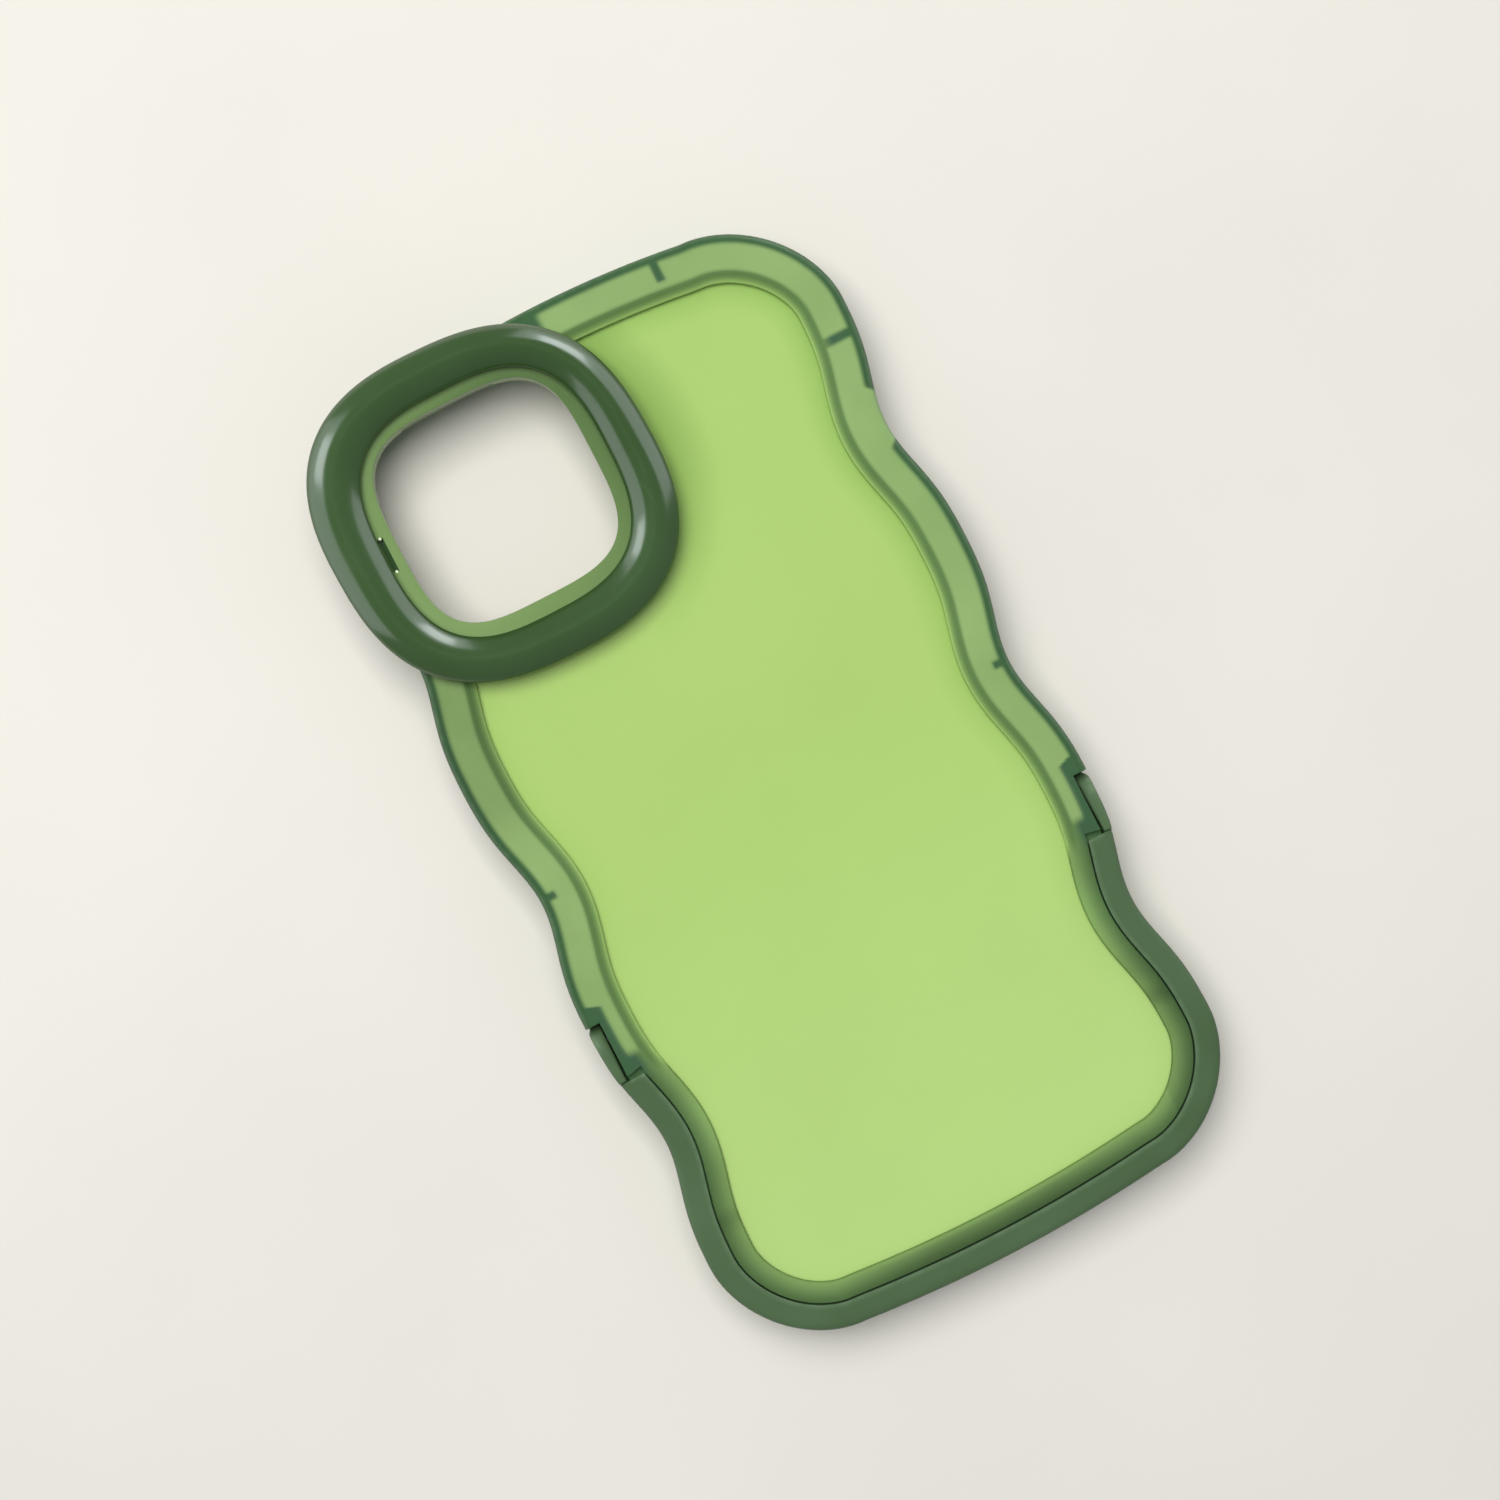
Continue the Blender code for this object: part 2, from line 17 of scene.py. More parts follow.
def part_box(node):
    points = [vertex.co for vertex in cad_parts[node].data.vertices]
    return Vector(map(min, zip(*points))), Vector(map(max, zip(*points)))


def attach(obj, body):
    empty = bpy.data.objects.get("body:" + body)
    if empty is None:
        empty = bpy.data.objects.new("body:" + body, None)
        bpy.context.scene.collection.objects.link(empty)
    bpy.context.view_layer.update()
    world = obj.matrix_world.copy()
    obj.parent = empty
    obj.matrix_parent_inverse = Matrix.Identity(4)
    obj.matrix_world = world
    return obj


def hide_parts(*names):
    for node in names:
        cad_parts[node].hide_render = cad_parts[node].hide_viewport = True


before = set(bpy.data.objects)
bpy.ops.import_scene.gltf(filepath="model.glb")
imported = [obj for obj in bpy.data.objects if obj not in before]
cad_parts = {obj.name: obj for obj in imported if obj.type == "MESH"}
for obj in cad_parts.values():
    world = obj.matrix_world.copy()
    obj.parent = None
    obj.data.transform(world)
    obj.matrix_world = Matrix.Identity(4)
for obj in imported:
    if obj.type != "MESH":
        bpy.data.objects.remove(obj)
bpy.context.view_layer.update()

MM = 0.001
GAP = 0.3

# Outline seen from the back, as the frame's.
MEAN_HALF_WIDTH = 40.02
WAVE_HEIGHT = 1.385
WAVE_PINCH = 0.235
WAVE_LENGTH = 39.0
WAVE_Y = -0.27
SIDE_TOP = WAVE_Y + 1.5 * WAVE_LENGTH
SIDE_BOTTOM = WAVE_Y - 1.5 * WAVE_LENGTH
CREST = MEAN_HALF_WIDTH + WAVE_HEIGHT - WAVE_PINCH
CORNER_SQUARENESS = 1.83
TOP_CORNER = (17.73, 17.34)
TOP_BULGE = 1.67
BOTTOM_CORNER = (16.75, 17.14)
BOTTOM_BULGE = 1.33
BOTTOM_Y = SIDE_BOTTOM - BOTTOM_CORNER[1] - BOTTOM_BULGE

# The phone's room.
PHONE_WIDTH = 71.5
PHONE_LENGTH = 146.7
PHONE_THICKNESS = 7.8
PHONE_CORNER = 11.5
PHONE_PLAY = 0.15
LIP_INSET = 1.45

# Heights.
FRONT_LIP = 1.2
PANEL_Z = 9.3
PANEL_TOP = 10.3
FRAME_TOP = 12.0
BUTTON_Z = FRONT_LIP + 0.52 * PHONE_THICKNESS

# Beyond this, to either hand, the band runs along a side and not along an end.
SIDE_X = 30.0

# Bands of the frame, as distances inwards from the outline.
BAND_WIDTH = 7.1
BAND_FOLD = 5.45
PANEL_INSET = 6.6
CHANNEL_OUTER = 1.6
CHANNEL_INNER = 5.3
CHANNEL_TONGUE = 3.9
CHANNEL_TOP = 11.2
CHANNEL_END_Y = -25.5
CHANNEL_LEFT_Y = 33.0
CHANNEL_TOP_X = 0.5
TONGUE_Y = -16.0
RIB_Y = 53.0
RIB_WIDTH = 1.4
TOP_RIB_X = 18.7

# Camera opening, collar and ring. The squareness is a superellipse's exponent.
# The ring leans: it is drawn out towards two opposite corners and drawn in at the other two.
CUTOUT = ((-17.24, 54.7), (15.46, 15.57), 3.55)
COLLAR = ((-17.28, 54.35), (17.9, 18.0), 2.9)
RING = ((-17.72, 54.27), (24.92, 24.63), 2.57)
RING_LEAN = 0.028
COLLAR_TOP = 12.6
CLIP_LENGTH = 5.6
CLIP_HALF_WIDTH = 0.42
TAB_HALF = (0.3, 1.5)
RING_TOP = 16.0
RING_SHOULDER = 13.95
RING_CROWN = 0.5
SLOPE_CURVE = 1.25
SHOULDER_CURVE = 1.7

# Stand and hinge.
STAND_WIDTH = 3.85
GROOVE = 0.25
STAND_FLANGE = 1.5
STAND_SKIRT = 1.2
STAND_BOTTOM = 8.9
STAND_END_Y = -28.9
PIVOT_Y = -22.3
PIVOT_Z = 7.6
ARM_RADIUS = 2.6
ARM_INNER_X = 39.2
NOTCH_X = 38.85
SWING_RADIUS = 7.85
PIN_RADIUS = 0.8
PIN_INNER_X = 36.9
PIN_OUTER_X = 40.3

# Buttons: node, body, side, middle, half length.
BUTTONS = (
    ("volume_up_button", "volume_up", 1, 28.0, 4.8),
    ("volume_down_button", "volume_down", 1, 15.4, 4.8),
    ("power_button", "power", -1, 21.7, 8.0),
)
BUTTON_HALF_HEIGHT = 1.6
BUTTON_PROUD = -0.05
POCKET_DEPTH = 0.65
FLANGE_INNER_X = 36.5
FLANGE_OUTER_X = 37.2
FLANGE_GROWTH = 0.7

# Openings through the walls. The ports are middle, half length, half height.
SWITCH_Y = 40.3
SWITCH_Z = 5.4
SWITCH_HALF = (4.4, 2.6)
PORT_Z = FRONT_LIP + PHONE_THICKNESS / 2
PORT_INNER_Y = -71.0
PORTS = ((0.0, 6.8, 2.7), (-14.5, 4.8, 1.1), (14.5, 4.8, 1.1))

frame_low, frame_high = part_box("bumper_frame")
SHIFT = np.array(((frame_low.x + frame_high.x) / 2 / MM, frame_low.y / MM - BOTTOM_Y, 0.0))


# ---- outlines -----------------------------------------------------------------------------------


def mix(low, high, share):
    return low + (high - low) * share


def smooth(low, high, value):
    """0 at low and 1 at high, with soft ends."""
    share = np.clip((np.asarray(value, float) - low) / (high - low), 0, 1)
    return share * share * (3 - 2 * share)


def side_x(y):
    turn = 2 * math.pi * (np.asarray(y, float) - WAVE_Y) / WAVE_LENGTH
    return MEAN_HALF_WIDTH - WAVE_HEIGHT * np.cos(turn) - WAVE_PINCH * np.cos(2 * turn)


def end_half(end, corner, bulge, side_y, steps=600):
    """One end's right half, from the side to the middle: a squared corner, then a bulging edge."""
    middle = CREST - corner[0]
    power = 2 / CORNER_SQUARENESS
    turn = np.linspace(0, math.pi / 2, steps + 1)[1:]
    x = middle + corner[0] * np.cos(turn).clip(0) ** power
    y = side_y + end * corner[1] * np.sin(turn) ** power
    across = np.linspace(middle, 0, steps // 2 + 1)[1:]
    rise = corner[1] + bulge * (1 - (across / middle) ** 2)
    return np.vstack([np.c_[x, y], np.c_[across, side_y + end * rise]])


def dense_outline():
    """The closed outline, anticlockwise from the middle of the bottom edge."""
    bottom = end_half(-1, BOTTOM_CORNER, BOTTOM_BULGE, SIDE_BOTTOM)[::-1]
    y = np.linspace(SIDE_BOTTOM, SIDE_TOP, 1800)
    top = end_half(1, TOP_CORNER, TOP_BULGE, SIDE_TOP)
    right = np.vstack([bottom, np.c_[side_x(y), y], top])
    return np.vstack([right, (right[::-1] * (-1, 1))[1:-1]])


def inward_normals(points):
    along = np.roll(points, -1, 0) - np.roll(points, 1, 0)
    along /= np.linalg.norm(along, axis=1, keepdims=True)
    return np.c_[-along[:, 1], along[:, 0]]


OUTLINE = dense_outline()
INWARDS = inward_normals(OUTLINE)
COARSE_STEP = 1.0
FINE_STEP = 0.4
FRAME_STEP = 0.28

# Where the band holds fine detail: point, reach.
FINE_PLACES = (
    ((CREST, RIB_Y), 3.0),
    ((CREST, SWITCH_Y), 7.0),
    ((CREST, 0.0), 3.0),
    ((-CREST, 0.0), 3.0),
    ((CREST, -24.0), 8.0),
    ((-CREST, -24.0), 8.0),
    ((TOP_RIB_X, 76.0), 3.0),
    ((CHANNEL_TOP_X, 77.0), 3.0),
)


def picked(points, normals, fine=FINE_STEP):
    """Fewer stations along a path, closer together where the band holds fine detail."""
    step = np.linalg.norm(np.diff(points, axis=0), axis=1)
    wanted = np.full(len(step), COARSE_STEP)
    for place, reach in FINE_PLACES:
        away = np.linalg.norm(points[1:] - place, axis=1)
        wanted = np.minimum(wanted, mix(fine, COARSE_STEP, smooth(reach, reach + 4, away)))
    travelled = np.r_[0, np.cumsum(step / wanted)]
    count = int(travelled[-1])
    chosen = np.searchsorted(travelled, np.linspace(0, travelled[-1], count + 1))
    return points[chosen], normals[chosen]


def whole_path(fine=FINE_STEP):
    closed = np.vstack([OUTLINE, OUTLINE[:1]])
    points, normals = picked(closed, np.vstack([INWARDS, INWARDS[:1]]), fine)
    return points[:-1], normals[:-1]


def lower_path(end_y):
    """The stretch from the left side at end_y round the bottom to the right side."""
    low = OUTLINE[:, 1] < end_y
    left = low & (OUTLINE[:, 0] < 0)
    right = low & (OUTLINE[:, 0] >= 0)
    order = np.r_[np.flatnonzero(left), np.flatnonzero(right)]
    return picked(OUTLINE[order], INWARDS[order])


def stretch(start, end):
    """The stretch of the outline between two of its points, by number."""
    return picked(OUTLINE[start:end], INWARDS[start:end])


def superellipse(shape, growth=0.0, steps=240, lean=0.0):
    (x, y), (half_x, half_y), squareness = shape
    turn = np.linspace(0, 2 * math.pi, steps, endpoint=False)
    c, s = np.cos(turn), np.sin(turn)
    power = 2 / squareness
    across = np.copysign(np.abs(c) ** power, c)
    along = np.copysign(np.abs(s) ** power, s)
    reach = 1 - lean * across * along
    return np.c_[x + reach * across * (half_x + growth), y + reach * along * (half_y + growth)]


def rounded_rectangle(half_x, half_y, radius, steps=12):
    points = []
    for quarter, (sx, sy) in enumerate(((1, 1), (-1, 1), (-1, -1), (1, -1))):
        turn = 0.5 * math.pi * (quarter + np.linspace(0, 1, steps + 1))
        centre = np.array((sx * (half_x - radius), sy * (half_y - radius)))
        points.append(centre + radius * np.c_[np.cos(turn), np.sin(turn)])
    return np.vstack(points)


def slot_outline(half_length, half_height, steps=14):
    """A slot with round ends, as (along, up) pairs about its middle."""
    return rounded_rectangle(half_length, half_height, half_height - 1e-4, steps)


def rounded(corners, steps=5):
    """A closed section from (x, y, radius) corners, with each corner rounded."""
    corners = np.array(corners, float)
    points = []
    for index, (x, y, radius) in enumerate(corners):
        here = np.array((x, y))
        before = corners[index - 1][:2] - here
        after = corners[(index + 1) % len(corners)][:2] - here
        start = here + before / np.linalg.norm(before) * radius
        end = here + after / np.linalg.norm(after) * radius
        for t in np.linspace(0, 1, steps + 1):
            points.append((1 - t) ** 2 * start + 2 * t * (1 - t) * here + t**2 * end)
    return np.array(points)


def divisions(section, longest_at):
    """How many parts each edge of a section is divided into."""
    edges = np.linalg.norm(np.roll(section, -1, 0) - section, axis=1)
    return [max(1, math.ceil(edge / longest_at(point))) for edge, point in zip(edges, section)]


def divided(section, counts):
    points = []
    for here, after, count in zip(section, np.roll(section, -1, 0), counts):
        points += [mix(here, after, step / count) for step in range(count)]
    return np.array(points)


# ---- meshes -------------------------------------------------------------------------------------


def add_object(name, mesh):
    obj = bpy.data.objects.new(name, mesh)
    bpy.context.scene.collection.objects.link(obj)
    return obj


def loft(name, rows, ring=False):
    """Joins rows of points, (rows, points, 3) in millimetres. Unless it is a ring, both ends get a face."""
    rows = np.asarray(rows, float)
    count, size = rows.shape[:2]
    near = np.arange(count if ring else count - 1)[:, None]
    here = np.arange(size)[None]
    far, beside = (near + 1) % count, (here + 1) % size
    corners = (near * size + here, near * size + beside, far * size + beside, far * size + here)
    faces = np.stack(np.broadcast_arrays(*corners), -1).reshape(-1, 4).tolist()
    if not ring:
        faces += [list(range(size))[::-1], list(range((count - 1) * size, count * size))]
    mesh = bpy.data.meshes.new(name)
    mesh.from_pydata(((rows.reshape(-1, 3) + SHIFT) * MM).tolist(), [], faces)
    bm = bmesh.new()
    bm.from_mesh(mesh)
    bmesh.ops.recalc_face_normals(bm, faces=bm.faces)
    bm.to_mesh(mesh)
    bm.free()
    return add_object(name, mesh)


def levels(outline_at, heights):
    """Rows of an upright shape: outline_at(i) at each height."""
    rows = []
    for index, z in enumerate(heights):
        outline = outline_at(index)
        rows.append(np.c_[outline, np.full(len(outline), z)])
    return rows


def swept(points, normals, sections):
    """Carries sections of (distance inwards, height) along a path."""
    sections = np.broadcast_to(sections, (len(points), *np.shape(sections)[-2:]))
    place = points[:, None] + normals[:, None] * sections[..., :1]
    return np.concatenate([place, sections[..., 1:]], axis=2)


def bar(name, radius, ends, y, z, steps=48):
    """A round bar along X."""
    turn = np.linspace(0, 2 * math.pi, steps, endpoint=False)
    circle = np.c_[y + radius * np.cos(turn), z + radius * np.sin(turn)]
    return loft(name, [np.c_[np.full(steps, x), circle] for x in ends])


def carved(obj, steps):
    """Applies (operation, other object) steps to obj, and removes the others."""
    for operation, other in steps:
        modifier = obj.modifiers.new(other.name, "BOOLEAN")
        modifier.operation = operation
        modifier.solver = "EXACT"
        modifier.object = other
    graph = bpy.context.evaluated_depsgraph_get()
    mesh = bpy.data.meshes.new_from_object(obj.evaluated_get(graph))
    obj.modifiers.clear()
    obj.data = mesh
    for _, other in steps:
        bpy.data.objects.remove(other)
    return obj


def finish_surface(obj, material, sharp=32):
    """Smooth shading with crisp creases, and the piece's material."""
    obj.data.materials.clear()
    obj.data.materials.append(material)
    obj.data.shade_smooth()
    obj.data.set_sharp_from_angle(angle=math.radians(sharp))
    return obj


def local_points(obj):
    """The vertices in millimetres about the phone's centre."""
    points = np.empty(len(obj.data.vertices) * 3)
    obj.data.vertices.foreach_get("co", points)
    return points.reshape(-1, 3) / MM - SHIFT


def set_attribute(obj, name, values):
    attribute = obj.data.attributes.new(name, "FLOAT", "POINT")
    attribute.data.foreach_set("value", np.asarray(values, np.float32))


OUTLINE_TREE = KDTree(len(OUTLINE))
for number, (px, py) in enumerate(OUTLINE):
    OUTLINE_TREE.insert((px, py, 0), number)
OUTLINE_TREE.balance()


def insets(points):
    """How far inwards from the outline each point lies."""
    nearest = [OUTLINE_TREE.find((x, y, 0))[1] for x, y in points[:, :2]]
    return ((points[:, :2] - OUTLINE[nearest]) * INWARDS[nearest]).sum(1)


# ---- shader tools -------------------------------------------------------------------------------

# How bright the studio shows a white surface, and the gloss that it adds to every colour.
LIGHT_LEVEL = 1.2
GLOSS_LEVEL = 0.008


def linear(red, green, blue):
    """A screen colour, 0 to 255, as scene-linear RGBA."""
    values = []
    for value in (red, green, blue):
        share = value / 255
        values.append(share / 12.92 if share <= 0.04045 else ((share + 0.055) / 1.055) ** 2.4)
    return (*values, 1.0)


def seen(red, green, blue, share=1.0):
    """The base that shows as this screen colour in the studio, if this share of the surface scatters."""
    values = [max(value - GLOSS_LEVEL, 0.004) / LIGHT_LEVEL / share for value in linear(red, green, blue)]
    return (*values[:3], 1.0)


class Shader:
    """A material's node tree, with short calls for its nodes."""

    def __init__(self, name):
        self.material = bpy.data.materials.new(name)
        self.material.use_nodes = True
        self.nodes = self.material.node_tree.nodes
        self.links = self.material.node_tree.links
        self.surface = self.nodes["Principled BSDF"]
        self.output = self.nodes["Material Output"]

    def add(self, kind, inputs=(), **settings):
        node = self.nodes.new("ShaderNode" + kind)
        for name, value in settings.items():
            setattr(node, name, value)
        self.feed(node, dict(inputs))
        return node

    def feed(self, node, inputs):
        for name, value in inputs.items():
            if isinstance(value, bpy.types.NodeSocket):
                self.links.new(value, node.inputs[name])
            else:
                node.inputs[name].default_value = value

    def attribute(self, name):
        return self.add("Attribute", attribute_name=name).outputs["Fac"]

    def place(self, stretched=(1, 1, 1)):
        """The object's own coordinates in metres, stretched for grain."""
        found = self.add("TexCoord").outputs["Object"]
        mapping = self.add("Mapping", {"Vector": found, "Scale": stretched})
        return mapping.outputs["Vector"]

    def noise(self, scale, detail=3.0, stretched=(1, 1, 1), roughness=0.5):
        inputs = {"Vector": self.place(stretched), "Scale": scale, "Detail": detail, "Roughness": roughness}
        return self.add("TexNoise", inputs).outputs["Fac"]

    def ramp(self, value, stops):
        """A colour ramp. Each stop is (position, colour)."""
        node = self.add("ValToRGB", {"Fac": value})
        elements = node.color_ramp.elements
        while len(elements) < len(stops):
            elements.new(0.5)
        for element, (position, colour) in zip(elements, stops):
            element.position = position
            element.color = colour
        return node.outputs["Color"]

    def math(self, operation, first, second):
        node = self.add("Math", operation=operation)
        self.feed(node, {0: first, 1: second})
        return node.outputs[0]

    def range(self, value, low, high, to_low, to_high):
        inputs = {"Value": value, "From Min": low, "From Max": high, "To Min": to_low, "To Max": to_high}
        return self.add("MapRange", inputs).outputs["Result"]

    def blend(self, share, first, second, mode="MIX"):
        node = self.add("Mix", data_type="RGBA", blend_type=mode)
        self.feed(node, {"Factor": share, 6: first, 7: second})
        return node.outputs[2]

    def varied(self, colour, amount, scale, detail=3.0):
        """The colour made a little lighter and darker in soft clouds."""
        tone = self.range(self.noise(scale, detail), 0.25, 0.75, 1 - amount, 1 + amount)
        shade = self.add("CombineColor", {"Red": tone, "Green": tone, "Blue": tone})
        return self.blend(1.0, colour, shade.outputs["Color"], "MULTIPLY")

    def bump(self, height, distance, strength=1.0):
        inputs = {"Height": height, "Distance": distance, "Strength": strength}
        return self.add("Bump", inputs).outputs["Normal"]


INSET_SPAN = 8.0


def inset_ramp(shader, inset, stops):
    """A ramp over the distance inwards from the outline, with stops in millimetres."""
    return shader.ramp(inset, [(at / INSET_SPAN, seen(*colour)) for at, colour in stops])


# How much of the clear panel's colour shows: the rest passes through.
MILKY = 0.74

# How far from its middle the camera ring shades the panel, in metres.
RING_SHADE_REACH = 0.033

# The band's colours at distances inwards from the outline: round the case, and beside the stand. Round the
# case, the last stops are a painted highlight line along the lip's edge at the panel.
SOLID_STOPS = (
    (0.0, (62, 96, 64)),
    (0.6, (54, 89, 54)),
    (1.3, (68, 103, 68)),
    (4.2, (70, 102, 76)),
    (5.3, (102, 134, 82)),
    (6.05, (98, 130, 76)),
    (6.5, (118, 151, 88)),
    (6.85, (144, 178, 102)),
    (7.05, (166, 202, 116)),
)
LOWER_STOPS = (
    (4.1, (82, 110, 66)),
    (4.5, (87, 115, 70)),
    (5.2, (99, 128, 79)),
    (6.0, (115, 146, 89)),
    (6.8, (128, 160, 95)),
    (7.05, (108, 140, 74)),
)

# ---- materials ----------------------------------------------------------------------------------


def soft_green():
    """Translucent moulded rubber: dark where it is solid, pale over the hollow channel, with painted light
    and shade along the band.
    """
    shader = Shader("soft_green")
    inset = shader.math("DIVIDE", shader.attribute("inset"), INSET_SPAN)
    solid = inset_ramp(shader, inset, SOLID_STOPS)
    lower = inset_ramp(shader, inset, LOWER_STOPS)
    strip = shader.ramp(
        shader.noise(70, 2.0),
        [(0.3, seen(140, 172, 108)), (0.7, seen(149, 180, 116))],
    )
    wall = shader.ramp(
        shader.attribute("level"),
        [(0.0, seen(84, 120, 76)), (0.5, seen(104, 142, 88)), (1.0, seen(82, 118, 82))],
    )
    colour = shader.blend(shader.attribute("strip"), solid, strip)
    colour = shader.blend(shader.attribute("lower"), colour, lower)
    colour = shader.blend(shader.attribute("wall"), colour, wall)
    # The band darkened and lightened by painted light and shade along the case.
    painted_light = shader.attribute("painted_light")
    painted_light = shader.add("CombineColor", {"Red": painted_light, "Green": painted_light, "Blue": painted_light}).outputs["Color"]
    colour = shader.blend(1.0, colour, painted_light, "MULTIPLY")
    colour = shader.varied(colour, 0.05, 90)
    # The outer top edge made pale: a little wear and a painted highlight.
    wear_and_highlight = shader.math("MULTIPLY", shader.attribute("edge"), shader.noise(700, 4.0))
    colour = shader.blend(wear_and_highlight, colour, seen(150, 178, 140))
    rough = shader.range(shader.noise(260, 4.0), 0.3, 0.7, 0.36, 0.5)
    grain = shader.noise(5200, 2.0)
    shader.feed(
        shader.surface,
        {
            "Base Color": colour,
            "Roughness": shader.math("ADD", rough, shader.math("MULTIPLY", wear_and_highlight, 0.2)),
            "Normal": shader.bump(grain, 0.00002, 0.5),
            "Subsurface Weight": 0.2,
            "Subsurface Radius": (0.5, 1.0, 0.4),
            "Subsurface Scale": 0.0008,
            "IOR": 1.4,
            "Specular IOR Level": 0.35,
        },
    )
    return shader.material


def near_ring(shader, reach):
    """1 at the middle of the camera ring, falling to 0 at reach."""
    middle = (SHIFT[:2] + RING[0]) * MM / reach
    place = {
        "Vector": shader.add("TexCoord").outputs["Object"],
        "Location": (-middle[0], -middle[1], 0),
        "Scale": (1 / reach, 1 / reach, 0),
    }
    mapping = shader.add("Mapping", place)
    fall = shader.add("TexGradient", {"Vector": mapping.outputs["Vector"]}, gradient_type="SPHERICAL")
    return fall.outputs["Fac"]


def clear_green():
    """Clear tinted hard plastic, a little milky, brighter away from the frame: painted shade lies along the
    frame and beside the ring.
    """
    shader = Shader("clear_green")
    inset = shader.attribute("inset")
    across, height, _ = shader.add("SeparateXYZ", {"Vector": shader.place()}).outputs
    # Painted shading: the panel darker towards the top of the case and paler towards the bottom.
    body = shader.ramp(
        shader.range(height, -0.07, 0.07, 0.0, 1.0),
        [
            (0.0, seen(187, 217, 136, MILKY)),
            (0.55, seen(177, 207, 119, MILKY)),
            (1.0, seen(172, 204, 116, MILKY)),
        ],
    )
    # Painted shade along the frame, stronger towards the top and on the right side.
    near_frame = shader.range(inset, 6.8, 11.0, 0.65, 0.0)
    near_frame = shader.math("MULTIPLY", near_frame, shader.range(height, -0.05, 0.04, 0.15, 1.0))
    near_frame = shader.math("MULTIPLY", near_frame, shader.range(across, -0.02, 0.02, 0.3, 1.0))
    colour = shader.blend(near_frame, body, seen(140, 182, 90, MILKY))
    # A painted shadow of the camera ring on the panel, on the ring's right side.
    beside_ring = shader.range(near_ring(shader, RING_SHADE_REACH), 0.0, 0.2, 0.0, 0.62)
    beside_ring = shader.math("MULTIPLY", beside_ring, shader.range(across, -0.005, 0.007, 0.0, 1.0))
    colour = shader.blend(beside_ring, colour, seen(118, 156, 72, MILKY))
    # The collar's painted shading: darker towards the right and the top, paler towards the left and the
    # bottom.
    collar = shader.ramp(shader.attribute("shade"), [(0.0, seen(88, 117, 66)), (1.0, seen(132, 163, 100))])
    colour = shader.blend(shader.attribute("collar"), colour, collar)
    # Painted shade down in the clip's slot.
    colour = shader.blend(shader.attribute("slot"), colour, seen(52, 84, 40))
    # Painted glints on the beads' tops.
    colour = shader.blend(shader.attribute("bead"), colour, linear(225, 244, 205))
    colour = shader.varied(colour, 0.02, 40)
    smudge = shader.range(shader.noise(120, 5.0), 0.35, 0.75, 0.12, 0.26)
    ripple = shader.noise(320, 2.0)
    shader.feed(
        shader.surface,
        {
            "Base Color": colour,
            "Roughness": smudge,
            "Normal": shader.bump(ripple, 0.00001, 0.4),
            "IOR": 1.5,
            "Coat Weight": 0.3,
            "Coat Roughness": 0.05,
        },
    )
    tint = shader.add("BsdfTransparent", {"Color": linear(206, 232, 160)})
    clear = shader.range(shader.attribute("collar"), 0, 1, 0.3, 0.06)
    both = shader.add("MixShader", {0: clear, 1: shader.surface.outputs[0], 2: tint.outputs[0]})
    shader.links.new(both.outputs[0], shader.output.inputs["Surface"])
    return shader.material


def ring_green():
    """Deep green hard plastic with a high gloss, faint smears and hairline scratches."""
    shader = Shader("ring_green")
    colour = shader.ramp(
        shader.noise(45, 3.0),
        [(0.3, seen(54, 82, 40)), (0.7, seen(62, 91, 50))],
    )
    scratch = shader.noise(900, 6.0, (1, 0.06, 1), 0.7)
    fine = shader.range(scratch, 0.62, 0.75, 0.0, 0.25)
    colour = shader.blend(fine, colour, seen(92, 124, 84))
    smear = shader.range(shader.noise(150, 5.0), 0.35, 0.7, 0.16, 0.26)
    shader.feed(
        shader.surface,
        {
            "Base Color": colour,
            "Roughness": shader.math("ADD", smear, shader.math("MULTIPLY", fine, 0.3)),
            "Normal": shader.bump(shader.noise(500, 2.0), 0.00001, 0.3),
            "IOR": 1.5,
            "Coat Weight": 0.6,
            "Coat Roughness": 0.14,
        },
    )
    return shader.material


def stand_green():
    """Matte hard plastic with a fine moulded grain, and painted highlights along its edges with a little
    wear.
    """
    shader = Shader("stand_green")
    colour = shader.ramp(
        shader.noise(60, 4.0),
        [(0.3, seen(78, 102, 70)), (0.7, seen(86, 111, 80))],
    )
    # Painted highlights along the groove, the band's end and the arms, and a little wear on the outer edge.
    edge = shader.attribute("edge")
    patches_of_wear_and_light = shader.range(shader.noise(600, 5.0), 0.3, 0.7, 0.3, 1.0)
    wear_and_highlight = shader.math("MULTIPLY", edge, patches_of_wear_and_light)
    colour = shader.blend(wear_and_highlight, colour, seen(120, 146, 116))
    rough = shader.range(shader.noise(300, 4.0), 0.3, 0.7, 0.38, 0.52)
    shader.feed(
        shader.surface,
        {
            "Base Color": colour,
            "Roughness": rough,
            "Normal": shader.bump(shader.noise(4200, 3.0), 0.00003, 0.6),
            "IOR": 1.4,
            "Specular IOR Level": 0.35,
        },
    )
    return shader.material


def button_green():
    """Satin rubber over the buttons."""
    shader = Shader("button_green")
    colour = shader.ramp(
        shader.noise(160, 4.0),
        [(0.3, seen(62, 92, 58)), (0.7, seen(72, 104, 66))],
    )
    rough = shader.range(shader.noise(420, 4.0), 0.3, 0.7, 0.28, 0.42)
    shader.feed(
        shader.surface,
        {
            "Base Color": colour,
            "Roughness": rough,
            "Normal": shader.bump(shader.noise(4800, 2.0), 0.00002, 0.6),
            "Coat Weight": 0.2,
            "Coat Roughness": 0.2,
        },
    )
    return shader.material


